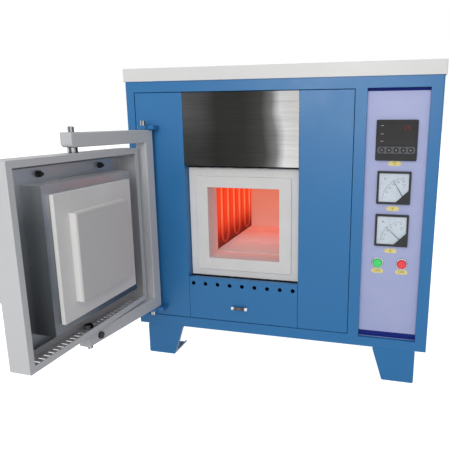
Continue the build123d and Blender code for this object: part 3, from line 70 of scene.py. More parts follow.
# Camera, fitted to the photograph: millimetres from the middle of the cabinet's front, degrees
CAMERA_PLACE = (308.96, -1210.03, 669.08)
CAMERA_YAW = 14.62
CAMERA_PITCH = -12.69
CAMERA_ROLL = -0.18
CAMERA_NEAR = 0.01
FRAME_PIXELS = 450
FOCAL_PIXELS = 489.27
PRINCIPAL_X = 269.91
PRINCIPAL_Y = 230.34
SENSOR = 36.0


def make_camera():
    """The photograph's camera: its place, turn, focal length and off-centre principal point."""
    data = bpy.data.cameras.new("photo_camera")
    camera = bpy.data.objects.new("photo_camera", data)
    bpy.context.scene.collection.objects.link(camera)
    yaw, pitch, roll = (math.radians(a) for a in (CAMERA_YAW, CAMERA_PITCH, CAMERA_ROLL))
    flat = math.cos(pitch)
    ahead = Vector((-math.sin(yaw) * flat, math.cos(yaw) * flat, math.sin(pitch)))
    level = Vector((math.cos(yaw), math.sin(yaw), 0))
    up = level.cross(ahead)
    right = level * math.cos(roll) + up * math.sin(roll)
    top = up * math.cos(roll) - level * math.sin(roll)
    x, y, z = (v * MM for v in CAMERA_PLACE)
    place = Vector((CENTRE_X + x, FRONT_Y + y, z))
    turn = Matrix((right, top, -ahead)).transposed().to_4x4()
    camera.matrix_world = Matrix.Translation(place) @ turn
    data.sensor_width = SENSOR
    data.lens = SENSOR * FOCAL_PIXELS / FRAME_PIXELS
    data.shift_x = (FRAME_PIXELS / 2 - PRINCIPAL_X) / FRAME_PIXELS
    data.shift_y = (PRINCIPAL_Y - FRAME_PIXELS / 2) / FRAME_PIXELS
    data.clip_start = CAMERA_NEAR
    bpy.context.scene.camera = camera


# Node helpers
class Shader:
    """A new node material, with short calls for the nodes that the finishes share."""

    def __init__(self, name):
        self.material = bpy.data.materials.new(name)
        self.material.use_nodes = True
        self.tree = self.material.node_tree
        self.surface = self.tree.nodes["Principled BSDF"]
        self.place = self.node("ShaderNodeTexCoord").outputs["Object"]

    def node(self, kind, **settings):
        made = self.tree.nodes.new(kind)
        for key, value in settings.items():
            setattr(made, key, value)
        return made

    def link(self, output, target):
        self.tree.links.new(output, target)

    def stretched(self, scale):
        """Object coordinates multiplied by scale, for grain that runs one way."""
        mapping = self.node("ShaderNodeMapping")
        mapping.inputs["Scale"].default_value = scale
        self.link(self.place, mapping.inputs["Vector"])
        return mapping.outputs["Vector"]

    def noise(self, scale, detail=3.0, roughness=0.5, stretch=None):
        made = self.node("ShaderNodeTexNoise")
        made.inputs["Scale"].default_value = scale
        made.inputs["Detail"].default_value = detail
        made.inputs["Roughness"].default_value = roughness
        self.link(self.stretched(stretch) if stretch else self.place, made.inputs["Vector"])
        return made.outputs["Fac"]

    def span(self, value, low, high, to_low=0.0, to_high=1.0, smooth=False):
        """Maps value from low..high to to_low..to_high, held at the ends."""
        made = self.node("ShaderNodeMapRange")
        made.interpolation_type = "SMOOTHSTEP" if smooth else "LINEAR"
        self.link(value, made.inputs["Value"])
        for key, number in (
            ("From Min", low),
            ("From Max", high),
            ("To Min", to_low),
            ("To Max", to_high),
        ):
            made.inputs[key].default_value = number
        return made.outputs["Result"]

    def axis(self, letter):
        """One object coordinate, in metres in the shared frame."""
        return self.part(self.place, letter)

    def facing(self, letter):
        """How far the surface looks along one axis, from -1 to 1."""
        return self.part(self.place.node.outputs["Normal"], letter)

    def part(self, vector, letter):
        split = self.node("ShaderNodeSeparateXYZ")
        self.link(vector, split.inputs["Vector"])
        return split.outputs[letter]

    def maths(self, operation, first, second):
        made = self.node("ShaderNodeMath", operation=operation)
        for socket, value in zip(made.inputs, (first, second)):
            if isinstance(value, (int, float)):
                socket.default_value = value
            else:
                self.link(value, socket)
        return made.outputs["Value"]

    def mix(self, factor, first, second, blend="MIX"):
        """Mixes two colours, each a colour or another node's output."""
        made = self.node("ShaderNodeMix", data_type="RGBA", blend_type=blend)
        inputs = [s for s in made.inputs if s.enabled]
        for socket, value in zip(inputs, (factor, first, second)):
            if isinstance(value, (int, float)):
                socket.default_value = value
            elif isinstance(value, tuple):
                socket.default_value = (*value[:3], 1)
            else:
                self.link(value, socket)
        return next(s for s in made.outputs if s.enabled)

    def ramp(self, value, stops):
        """A colour ramp through (position, colour) stops."""
        made = self.node("ShaderNodeValToRGB")
        elements = made.color_ramp.elements
        while len(elements) < len(stops):
            elements.new(0.5)
        for element, (position, colour) in zip(elements, stops):
            element.position = position
            element.color = (*colour[:3], 1)
        self.link(value, made.inputs["Fac"])
        return made.outputs["Color"]

    def colour(self, value):
        if isinstance(value, tuple):
            self.surface.inputs["Base Color"].default_value = (*value[:3], 1)
        else:
            self.link(value, self.surface.inputs["Base Color"])

    def rough(self, value):
        if isinstance(value, (int, float)):
            self.surface.inputs["Roughness"].default_value = value
        else:
            self.link(value, self.surface.inputs["Roughness"])

    def bump(self, height, distance, strength=1.0):
        made = self.node("ShaderNodeBump")
        made.inputs["Strength"].default_value = strength
        made.inputs["Distance"].default_value = distance
        self.link(height, made.inputs["Height"])
        self.link(made.outputs["Normal"], self.surface.inputs["Normal"])

    def constants(self, **values):
        """Sets fixed shader values, such as metallic or coat_weight, on the shader itself."""
        for key, value in values.items():
            socket = key.replace("_", " ").title().replace("Ior", "IOR")
            self.surface.inputs[socket].default_value = value


def darker(colour, share):
    """The colour times share, which may also be above 1."""
    return tuple(channel * share for channel in colour)


# Finishes
def powder_coat(name, colour, roughness=0.38, gloss=0.3):
    """Baked paint on sheet: faint orange peel, faint dust and a slow change of tone over each panel."""
    s = Shader(name)
    tone = s.mix(s.span(s.noise(2.2, 2), 0.3, 0.7), darker(colour, 0.95), darker(colour, 1.05))
    dust = s.span(s.noise(60, 4, 0.7), 0.55, 0.8, 0.0, 0.06)
    s.colour(s.mix(dust, tone, darker(colour, 1.4)))
    s.rough(s.span(s.noise(9, 3), 0.3, 0.7, roughness - 0.05, roughness + 0.07))
    s.bump(s.noise(700, 2), 0.00012, 0.35)
    s.constants(specular_ior_level=gloss)
    return s.material


def brushed_steel(name, colour, left, right, stops, roughness=0.3):
    """Sheet brushed along X, in tone, roughness and height, with soft bands of painted reflection from left
    to right.
    """
    s = Shader(name)
    fine = s.noise(1.0, 4, 0.6, stretch=(9, 900, 900))
    broad = s.noise(1.0, 3, 0.5, stretch=(1.5, 60, 60))
    tone = s.mix(s.span(fine, 0.25, 0.75), darker(colour, 0.72), darker(colour, 1.3))
    tone = s.mix(s.span(broad, 0.3, 0.7, 0.0, 0.35), tone, darker(colour, 1.35))
    # Painted reflection: bands from the stops, their edges bent a little by noise, multiply the steel's
    # colour.
    bent = s.maths("ADD", s.axis("X"), s.span(s.noise(7, 2), 0.3, 0.7, -0.012, 0.012))
    sheen = s.ramp(s.span(bent, left, right), stops)
    s.colour(s.mix(1.0, tone, sheen, blend="MULTIPLY"))
    s.rough(s.span(fine, 0.2, 0.8, roughness - 0.06, roughness + 0.1))
    s.bump(fine, 0.00004, 0.5)
    s.constants(metallic=1.0, anisotropic=0.5)
    return s.material


def plain_metal(name, colour, roughness=0.3, spangle=0.15):
    """Bare metal: soft mottling, small pits and smudged gloss."""
    s = Shader(name)
    mottle = s.noise(40, 4, 0.6)
    dull, bright = darker(colour, 1 - spangle), darker(colour, 1 + spangle)
    s.colour(s.mix(s.span(mottle, 0.3, 0.7), dull, bright))
    s.rough(s.span(s.noise(100, 3), 0.3, 0.7, roughness - 0.06, roughness + 0.1))
    s.bump(s.noise(800, 2), 0.00004, 0.4)
    s.constants(metallic=1.0)
    return s.material


def pressed_steel(name, colour, roughness=0.34):
    """Thin dull stainless sheet: a faint rolling grain and a few smudges."""
    s = Shader(name)
    grain = s.noise(1.0, 3, 0.5, stretch=(12, 500, 500))
    tone = s.mix(s.span(grain, 0.3, 0.7), darker(colour, 0.93), darker(colour, 1.07))
    s.colour(tone)
    s.rough(s.span(s.noise(22, 3), 0.35, 0.7, roughness - 0.03, roughness + 0.06))
    s.bump(grain, 0.00003, 0.3)
    s.constants(metallic=0.75)
    return s.material


def door_pan(name):
    """The pan's dull stainless with painted reflection: paler towards its top, where it looks at the room,
    and paler still on its upper side.
    """
    s = Shader(name)
    low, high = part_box("door_liner")
    # Painted reflection: the colour grows paler with height.
    tone = s.ramp(s.span(s.axis("Z"), low.z, high.z), [
        (0.0, linear(94, 97, 100)),
        (0.35, linear(120, 124, 128)),
        (0.7, linear(140, 144, 148)),
        (1.0, linear(196, 199, 203)),
    ])
    # Painted highlight: faces that look up are made near white.
    tone = s.mix(s.span(s.facing("Z"), 0.6, 0.95), tone, linear(248, 246, 246))
    grain = s.noise(1.0, 3, 0.5, stretch=(12, 500, 500))
    s.colour(s.mix(s.span(grain, 0.3, 0.7, 0.0, 0.14), tone, darker(PAN_SHADE, 0.6)))
    s.rough(s.span(s.noise(22, 3), 0.35, 0.7, 0.31, 0.40))
    s.bump(grain, 0.00003, 0.3)
    s.constants(metallic=0.75)
    return s.material


def chrome(name):
    """Polished steel with a painted reflection of a dark room: strips set by which way the surface faces, so
    that a rod shows light and dark lines.
    """
    s = Shader(name)
    painted_reflection_strips = s.ramp(s.span(s.facing("X"), -1.0, 1.0), [
        (0.0, linear(60, 60, 62)),
        (0.16, linear(36, 36, 38)),
        (0.30, linear(214, 216, 220)),
        (0.46, linear(120, 122, 126)),
        (0.60, linear(34, 34, 36)),
        (0.80, linear(196, 198, 202)),
        (1.0, linear(70, 70, 72)),
    ])
    s.colour(painted_reflection_strips)
    s.rough(s.span(s.noise(200, 3), 0.3, 0.7, 0.12, 0.22))
    s.bump(s.noise(900, 2), 0.00003, 0.3)
    s.constants(metallic=1.0)
    return s.material


def bow_painted_reflection(name):
    """Small plated bow pull with a painted reflection: bright at its bent ends, dull and dark along its
    middle.
    """
    s = Shader(name)
    low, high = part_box("drawer_pull")
    along = s.maths("ADD", s.axis("X"), s.span(s.noise(160, 2), 0.3, 0.7, -0.002, 0.002))
    tone = s.ramp(s.span(along, low.x, high.x), [
        (0.0, linear(206, 208, 212)),
        (0.13, linear(214, 216, 220)),
        (0.22, linear(66, 68, 76)),
        (0.50, linear(96, 92, 92)),
        (0.78, linear(60, 62, 70)),
        (0.87, linear(214, 216, 220)),
        (1.0, linear(206, 208, 212)),
    ])
    s.colour(tone)
    s.rough(s.span(s.noise(300, 3), 0.3, 0.7, 0.2, 0.34))
    s.bump(s.noise(900, 2), 0.00003, 0.3)
    s.constants(metallic=0.9)
    return s.material


def galvanised(name):
    """Zinc-coated sheet with its leafy crystal pattern."""
    s = Shader(name)
    cells = s.node("ShaderNodeTexVoronoi")
    cells.inputs["Scale"].default_value = 70
    s.link(s.place, cells.inputs["Vector"])
    leaf = s.node("ShaderNodeSeparateColor")
    s.link(cells.outputs["Color"], leaf.inputs["Color"])
    s.colour(s.mix(leaf.outputs["Red"], linear(128, 133, 138), linear(186, 190, 195)))
    s.rough(s.span(leaf.outputs["Green"], 0, 1, 0.34, 0.52))
    s.constants(metallic=0.9)
    return s.material


def moulded(name, colour, roughness=0.5, grain=900, speck=0.12):
    """Moulded plastic or rubber with a fine spark-eroded grain."""
    s = Shader(name)
    dark, light = darker(colour, 1 - speck), darker(colour, 1 + speck)
    s.colour(s.mix(s.span(s.noise(120, 3), 0.3, 0.7), dark, light))
    s.rough(s.span(s.noise(30, 3), 0.3, 0.7, roughness - 0.06, roughness + 0.08))
    s.bump(s.noise(grain, 2), 0.00006, 0.5)
    return s.material


def fibre_board(name, colour):
    """Vacuum-formed ceramic fibre, matt, with fine fibres and faint stains; returns its shader, to add to."""
    s = Shader(name)
    cloud = s.noise(14, 4, 0.6)
    tone = s.mix(s.span(cloud, 0.3, 0.7), darker(colour, 0.965), darker(colour, 1.02))
    fibres = s.noise(1.0, 4, 0.7, stretch=(260, 260, 900))
    tone = s.mix(s.span(fibres, 0.62, 0.8, 0.0, 0.16), tone, darker(colour, 0.8))
    s.colour(tone)
    s.tone = tone
    s.rough(0.92)
    uneven = s.maths("ADD", s.noise(35, 3), s.maths("MULTIPLY", s.noise(420, 3), 0.3))
    s.bump(uneven, 0.0006, 0.35)
    return s


def glowing_board(name, base, glow, bump=0.0005):
    """Ceramic that glows: glow is a function of the shader that returns the glow's colour. On the lining
    boards the glow is partly painted light from the elements.
    """
    s = Shader(name)
    s.colour(s.mix(s.span(s.noise(20, 4), 0.3, 0.7), darker(base, 0.9), base))
    s.rough(0.9)
    s.bump(s.noise(60, 4), bump, 0.4)
    s.link(glow(s), s.surface.inputs["Emission Color"])
    s.constants(emission_strength=1.0)
    return s.material


elements_low, elements_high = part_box("heating_elements")
elements_y = (elements_low.y + elements_high.y) / 2
LEGS_PER_SIDE = 6
ELEMENT_ROD = 0.006
SHANK_PITCH = (elements_high.y - elements_low.y - ELEMENT_ROD) / (LEGS_PER_SIDE - 1)
wall_low, wall_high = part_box("lining_sides")


def wall_glow(s):
    """Orange walls, glowing partly of their own heat and partly with painted light from the legs: brightest
    high up beside each leg, dark red near the bends and by the mouth.
    """
    height = s.span(s.axis("Z"), elements_low.z - 0.012, wall_high.z)
    tone = s.ramp(height, [
        (0.0, linear(84, 16, 12)),
        (0.14, linear(140, 24, 12)),
        (0.30, linear(216, 40, 10)),
        (0.62, linear(240, 50, 12)),
        (1.0, linear(226, 44, 10)),
    ])
    # Painted light: a brighter stripe on the wall beside each leg, where the leg's light falls.
    across = s.maths("SUBTRACT", s.axis("Y"), elements_y + SHANK_PITCH / 2)
    wave = s.maths("COSINE", s.maths("MULTIPLY", across, math.tau / SHANK_PITCH), 0.0)
    painted_leg_light = s.span(wave, 0.1, 1.0, 0.0, 0.30, smooth=True)
    upward = s.span(height, 0.1, 0.4, smooth=True)
    tone = s.mix(s.maths("MULTIPLY", painted_leg_light, upward), tone, linear(250, 96, 62))
    near = s.span(s.axis("Y"), wall_low.y, wall_low.y + 0.05, 0.55, 0.0, smooth=True)
    return s.mix(near, tone, linear(140, 22, 8))


def back_glow(s):
    """The far wall, glowing partly of its own heat and partly with painted light from the elements:
    red-orange at the top, paler and pinker towards the hearth.
    """
    height = s.span(s.axis("Z"), elements_low.z, elements_high.z - 0.13)
    return s.ramp(height, [
        (0.0, linear(190, 112, 98)),
        (0.45, linear(192, 108, 84)),
        (0.9, linear(200, 66, 34)),
    ])


def floor_glow(s):
    """The hearth, glowing partly of its own heat and partly with painted light from the elements: hardly
    glowing at the mouth, pink-orange at the far end.
    """
    depth = s.span(s.axis("Y"), wall_low.y - 0.02, wall_high.y)
    tone = s.ramp(depth, [
        (0.0, linear(96, 96, 96)),
        (0.45, linear(150, 116, 112)),
        (0.75, linear(176, 88, 72)),
        (1.0, linear(176, 92, 78)),
    ])
    worn = s.span(s.noise(16, 4, 0.6), 0.56, 0.72, 0.0, 0.35)
    return s.mix(worn, tone, linear(200, 150, 134))


# The roof, glowing partly of its own heat and partly with painted light from the elements: darker red at the
# mouth, brighter at the far end.
def roof_glow(s):
    return s.ramp(s.span(s.axis("Y"), wall_low.y, wall_high.y), [
        (0.0, linear(130, 40, 24)),
        (1.0, linear(190, 70, 40)),
    ])


def leg_glow(s):
    """Heating elements: bright legs, duller bends and cold terminals above the roof."""
    height = s.span(s.axis("Z"), elements_low.z, elements_high.z)
    return s.ramp(height, [
        (0.0, linear(150, 36, 24)),
        (0.08, linear(210, 60, 36)),
        (0.24, linear(255, 118, 80)),
        (0.52, linear(255, 106, 62)),
        (0.60, (0.0, 0.0, 0.0)),
        (1.0, (0.0, 0.0, 0.0)),
    ])


def mouth_painted_light(s):
    """Painted light: a pink glow on the inner walls of the mouth, standing in for the chamber's light falling
    on them, and none on its front face.
    """
    low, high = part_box("mouth_block")
    depth = s.span(s.axis("Y"), low.y + 0.006, high.y, smooth=True)
    return s.ramp(depth, [(0.0, (0.0, 0.0, 0.0)), (1.0, linear(110, 46, 34))])


def glass(name):
    s = Shader(name)
    s.colour(linear(225, 235, 245))
    s.rough(s.span(s.noise(25, 3), 0.3, 0.7, 0.03, 0.09))
    s.constants(alpha=0.12)
    return s.material


def lavender(name):
    """The printed overlay of the control panel: paler at the top as a painted highlight, satin, with a fine
    film texture.
    """
    s = Shader(name)
    low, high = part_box("control_panel")
    height = s.span(s.axis("Z"), low.z, high.z)
    # Painted highlight: the colour grows paler towards the top.
    tone = s.ramp(height, [
        (0.0, linear(161, 168, 208)),
        (0.35, linear(165, 173, 212)),
        (0.75, linear(170, 177, 216)),
        (1.0, linear(175, 181, 219)),
    ])
    s.colour(s.mix(s.span(s.noise(18, 3), 0.3, 0.7, 0.0, 0.12), tone, linear(196, 202, 228)))
    s.rough(s.span(s.noise(12, 3), 0.3, 0.7, 0.40, 0.52))
    s.bump(s.noise(1200, 2), 0.00005, 0.4)
    return s.material


def dial_card(name):
    s = Shader(name)
    s.colour(s.mix(s.span(s.noise(30, 3), 0.3, 0.7), linear(206, 216, 226), linear(222, 230, 238)))
    s.rough(0.6)
    s.bump(s.noise(900, 2), 0.00003, 0.3)
    return s.material


def ink(name, colour, roughness=0.5, glow=0.0):
    """Screen print: a flat film, a little uneven at its edges, glowing faintly where it is a display."""
    s = Shader(name)
    s.colour(s.mix(s.span(s.noise(400, 3), 0.35, 0.65), darker(colour, 0.9), darker(colour, 1.08)))
    s.rough(roughness)
    s.constants(specular_ior_level=0.25)
    if glow:
        s.surface.inputs["Emission Color"].default_value = (*colour, 1)
        s.constants(emission_strength=glow)
    return s.material


def button_plastic(name, colour):
    """Translucent coloured plastic with a high gloss and a faint glow in its own colour, painted light
    standing in for light passing through the plastic.
    """
    s = Shader(name)
    s.colour(s.mix(s.span(s.noise(90, 3), 0.3, 0.7), darker(colour, 0.92), darker(colour, 1.06)))
    s.rough(s.span(s.noise(60, 3), 0.3, 0.7, 0.16, 0.26))
    # Painted light: a faint glow in the button's own colour.
    s.surface.inputs["Emission Color"].default_value = (*colour, 1)
    s.constants(coat_weight=0.6, coat_roughness=0.05, emission_strength=0.12)
    return s.material


BLUE = linear(44, 112, 167)
LID_GREY = linear(216, 216, 215)
DOOR_GREY = linear(192, 193, 195)
BOARD_WHITE = linear(216, 215, 214)
PAN_SHADE = linear(128, 132, 136)

# Painted reflection on the lintel: dark in the middle, bright near its right end, multiplied into the steel's
# colour.
LINTEL_REFLECTION_STOPS = [
    (0.0, linear(104, 103, 101)),
    (0.14, linear(94, 91, 90)),
    (0.30, linear(66, 65, 62)),
    (0.55, linear(66, 65, 62)),
    (0.70, linear(84, 83, 80)),
    (0.80, linear(146, 145, 142)),
    (0.88, linear(252, 250, 246)),
    (1.0, linear(244, 240, 234)),
]


def make_finishes():
    """Every finish by name."""
    lintel_low, lintel_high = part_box("lintel_plate")
    blue = powder_coat("cabinet_blue", BLUE, roughness=0.36, gloss=0.32)
    board = fibre_board("ceramic_board", BOARD_WHITE)
    plug = fibre_board("plug_board", BOARD_WHITE)
    plug_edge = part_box("door_plug")[1].x
    # Darker over the plug's front face.
    front_face_darker = plug.span(plug.axis("X"), plug_edge - 0.011, plug_edge - 0.007, 0.0, 1.0, smooth=True)
    plug.colour(plug.mix(front_face_darker, plug.tone, darker(BOARD_WHITE, 0.8)))
    mouth = fibre_board("mouth_board", BOARD_WHITE)
    mouth.link(mouth_painted_light(mouth), mouth.surface.inputs["Emission Color"])
    mouth.constants(emission_strength=1.0)
    return {
        "blue": blue,
        "lid": powder_coat("lid_paint", LID_GREY, roughness=0.42),
        "door_paint": powder_coat("door_paint", DOOR_GREY, roughness=0.45),
        "lintel": brushed_steel(
            "lintel_steel",
            linear(198, 200, 203),
            left=lintel_low.x,
            right=lintel_high.x,
            stops=LINTEL_REFLECTION_STOPS,
        ),
        "pan": door_pan("pan_steel"),
        # The strap's very pale steel is painted light, standing in for the light that reaches it inside the
        # door.
        "strap": pressed_steel("strap_steel", linear(236, 238, 240)),
        "zinc": galvanised("zinc_sheet"),
        "board": board.material,
        "plug": plug.material,
        "mouth": mouth.material,
        "wall": glowing_board("glowing_wall", linear(70, 40, 32), wall_glow),
        "back": glowing_board("glowing_back", linear(150, 132, 126), back_glow),
        "hearth": glowing_board("glowing_hearth", linear(200, 198, 196), floor_glow),
        "roof": glowing_board("glowing_roof", linear(150, 132, 126), roof_glow),
        "leg": glowing_board("hot_element", linear(40, 30, 28), leg_glow, bump=0.0001),
        "clamp": plain_metal("clamp_aluminium", linear(188, 190, 194), roughness=0.42),
        "chrome": chrome("bright_steel"),
        "pull": bow_painted_reflection("pull_painted_reflection"),
        "ring": plain_metal("chrome_ring", linear(196, 198, 202), roughness=0.14, spangle=0.12),
        "black_steel": powder_coat("black_steel", linear(38, 38, 42), roughness=0.4),
        "bronze": plain_metal("bronze", linear(176, 140, 84), roughness=0.38),
        "panel": lavender("panel_lavender"),
        "black": moulded("black_plastic", linear(15, 16, 20), roughness=0.42),
        "window": moulded("smoked_window", linear(22, 19, 20), roughness=0.14, grain=40, speck=0.3),
        "key": moulded("key_rubber", linear(28, 28, 31), roughness=0.5),
        "dial": dial_card("dial_card"),
        "glass": glass("clear_glass"),
        "needle": ink("needle_black", linear(18, 18, 20), 0.35),
        "green": button_plastic("button_green", linear(20, 205, 92)),
        "red": button_plastic("button_red", linear(226, 16, 44)),
        "core": moulded("core_steel", linear(44, 42, 40), roughness=0.45),
        "fan": moulded("fan_black", linear(32, 32, 34), roughness=0.5),
        "ceramic": moulded("sheath_ceramic", linear(224, 216, 198), roughness=0.3, speck=0.05),
    }


KEYS = range(1, 6)

# Finish and edge rounding, in millimetres, of each carried-over node
DRESS = {
    "front_frame": ("blue", 0.6),
    "side_panels": ("blue", 0.6),
    "rear_panel": ("blue", 0.5),
    "base_plate": ("zinc", 0.5),
    "top_lid": ("lid", 0.6),
    "feet": ("blue", 0.6),
    "front_panels": ("blue", 0.7),
    "lintel_plate": ("lintel", 0.5),
    "drawer_front": ("blue", 0.6),
    "drawer_tray": ("zinc", 0.4),
    "drawer_pull": ("pull", 0.7),
    "drawer_rails": ("zinc", 0.4),
    "inner_casing": ("zinc", 0.4),
    "casing_front": ("zinc", 0.4),
    "mouth_block": ("mouth", 1.2),
    "lining_floor": ("board", 1.0),
    "lining_sides": ("wall", 0.0),
    "lining_roof": ("roof", 0.0),
    "lining_rear": ("back", 0.0),
    "hearth_plate": ("hearth", 1.0),
    "heating_elements": ("leg", 0.0),
    "element_holders": ("board", 0.8),
    "element_clamps": ("clamp", 0.6),
    "element_straps": ("clamp", 0.5),
    "thermocouple": ("ceramic", 0.5),
    "partition": ("zinc", 0.3),
    "control_panel": ("panel", 0.3),
    "controller_case": ("black", 0.4),
    "controller_window": ("window", 0.3),
    **{f"key_{number}": ("key", 0.0) for number in KEYS},
    "meter_cases": ("black", 0.5),
    "meter_dials": ("dial", 0.0),
    "meter_glasses": ("glass", 0.2),
    "voltmeter_needle": ("needle", 0.0),
    "ammeter_needle": ("needle", 0.0),
    "button_bezels": ("ring", 0.0),
    "contact_blocks": ("black", 0.5),
    "start_button": ("green", 0.0),
    "stop_button": ("red", 0.0),
    "transformer": ("core", 1.0),
    "power_unit": ("clamp", 0.3),
    "fan_housing": ("fan", 0.5),
    "fan_rotor": ("fan", 0.3),
    "cable_gland": ("black", 0.5),
    "hinge_brackets": ("blue", 0.8),
    "hinge_pins": ("chrome", 0.0),
    "door_arm": ("door_paint", 0.6),
    "arm_bushes": ("bronze", 0.3),
    "lock_screw": ("black_steel", 0.4),
    "door_shell": ("door_paint", 0.6),
    "door_liner": ("pan", 0.9),
    "door_plug": ("plug", 2.5),
    "door_straps": ("strap", 0.5),
    "door_studs": ("black_steel", 0.4),
    "pivot_pins": ("chrome", 0.4),
    "door_handle": ("door_paint", 0.0),
}
EDGE_ANGLE = math.radians(32)
COPLANAR = math.radians(0.4)
MERGE = 0.00001
EDGE_SEGMENTS = 2


def round_edges(piece, width):
    """Rounds the sharp edges with modifiers, which leave the piece's own points as they are."""
    for polygon in piece.data.polygons:
        polygon.use_smooth = True
    weld = piece.modifiers.new("weld", "WELD")
    weld.merge_threshold = MERGE
    flat = piece.modifiers.new("flat_faces", "DECIMATE")
    flat.decimate_type = "DISSOLVE"
    flat.angle_limit = COPLANAR
    bevel = piece.modifiers.new("edges", "BEVEL")
    bevel.width = width * MM
    bevel.segments = EDGE_SEGMENTS
    bevel.limit_method = "ANGLE"
    bevel.angle_limit = EDGE_ANGLE
    bevel.harden_normals = False
    even = piece.modifiers.new("normals", "WEIGHTED_NORMAL")
    even.keep_sharp = True


def dress_nodes(finishes):
    for name, (finish, width) in DRESS.items():
        piece = nodes[name]
        piece.data.materials.clear()
        piece.data.materials.append(finishes[finish])
        if width:
            round_edges(piece, width)


INK = 0.00015
INK_ON_INK = 0.0001


# Printed faces
class Print:
    """Thin raised shapes on an upright face that looks towards -Y, drawn in X and Z metres."""

    def __init__(self, face_y, thickness=INK):
        self.mesh = bmesh.new()
        self.back = face_y
        self.front = face_y - thickness

    def shape(self, *loops):
        """One filled outline, with any further loops as its holes."""
        points = [point for loop in loops for point in loop]
        front = [self.mesh.verts.new((x, self.front, z)) for x, z in points]
        back = [self.mesh.verts.new((x, self.back, z)) for x, z in points]
        flat = [[Vector((x, z, 0)) for x, z in loop] for loop in loops]
        for a, b, c in tessellate_polygon(flat):
            self.mesh.faces.new((front[a], front[b], front[c]))
            self.mesh.faces.new((back[c], back[b], back[a]))
        start = 0
        for loop in loops:
            for i in range(len(loop)):
                a, b = start + i, start + (i + 1) % len(loop)
                self.mesh.faces.new((front[a], back[a], back[b], front[b]))
            start += len(loop)

    def text(self, words, x, z, size):
        """Centred lettering of the given height."""
        curve = bpy.data.curves.new("lettering", "FONT")
        curve.body = words
        curve.size = size
        curve.align_x = "CENTER"
        curve.align_y = "CENTER"
        curve.extrude = (self.back - self.front) / 2
        holder = bpy.data.objects.new("lettering", curve)
        flat = bpy.data.meshes.new_from_object(holder)
        y = (self.back + self.front) / 2
        flat.transform(Matrix(((1, 0, 0, x), (0, 0, -1, y), (0, 1, 0, z), (0, 0, 0, 1))))
        self.mesh.from_mesh(flat)
        bpy.data.meshes.remove(flat)
        bpy.data.objects.remove(holder)
        bpy.data.curves.remove(curve)

    def finish(self, name, material, body, slot=None):
        bmesh.ops.recalc_face_normals(self.mesh, faces=self.mesh.faces)
        data = bpy.data.meshes.new(name)
        self.mesh.to_mesh(data)
        self.mesh.free()
        place_piece(name, data, material, body)


def place_piece(name, data, material, body):
    """Links a finished mesh as a piece that rides on a body."""
    data.materials.append(material)
    piece = bpy.data.objects.new(name, data)
    bpy.context.scene.collection.objects.link(piece)
    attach(piece, body)


def round_rectangle(x, z, width, height, radius, steps=6):
    """Outline of a rectangle with round corners, centred at x and z."""
    points = []
    for corner, (right, top) in enumerate(((1, 1), (-1, 1), (-1, -1), (1, -1))):
        cx = x + right * (width / 2 - radius)
        cz = z + top * (height / 2 - radius)
        for i in range(steps + 1):
            angle = math.pi / 2 * (corner + i / steps)
            points.append((cx + radius * math.cos(angle), cz + radius * math.sin(angle)))
    return points


def circle(x, z, radius, steps=32):
    angles = [math.tau * i / steps for i in range(steps)]
    return [(x + radius * math.cos(angle), z + radius * math.sin(angle)) for angle in angles]


def sector(x, z, inner, outer, start, end, steps=24):
    """Outline of a ring's stretch between two angles, in degrees up from +X."""
    angles = [math.radians(start + (end - start) * i / steps) for i in range(steps + 1)]
    out = [(x + outer * math.cos(a), z + outer * math.sin(a)) for a in angles]
    back = [(x + inner * math.cos(a), z + inner * math.sin(a)) for a in reversed(angles)]
    return out + back


def bar(x, z, width, height):
    """Outline of an upright rectangle centred at x and z."""
    return [
        (x - width / 2, z - height / 2),
        (x + width / 2, z - height / 2),
        (x + width / 2, z + height / 2),
        (x - width / 2, z + height / 2),
    ]


# Print of the control panel, in metres
PANEL_EDGE = 0.002
LOW_STRIPE_RISE = 0.0085
LOW_STRIPE_HEIGHT = 0.015
TOP_STRIPE_AND_SHADE_HEIGHT = 0.007
TAG_WIDTH = 0.030
TAG_HEIGHT = 0.0112
TAG_CORNER = 0.0053
TAG_WORD = 0.0092
CONTROLLER_TAG_SHIFT = 0.002
CONTROLLER_TAG_DROP = 0.007
UPPER_METER_TAG_DROP = 0.012
LOWER_METER_TAG_DROP = 0.013
BUTTON_TAG_DROP = 0.021


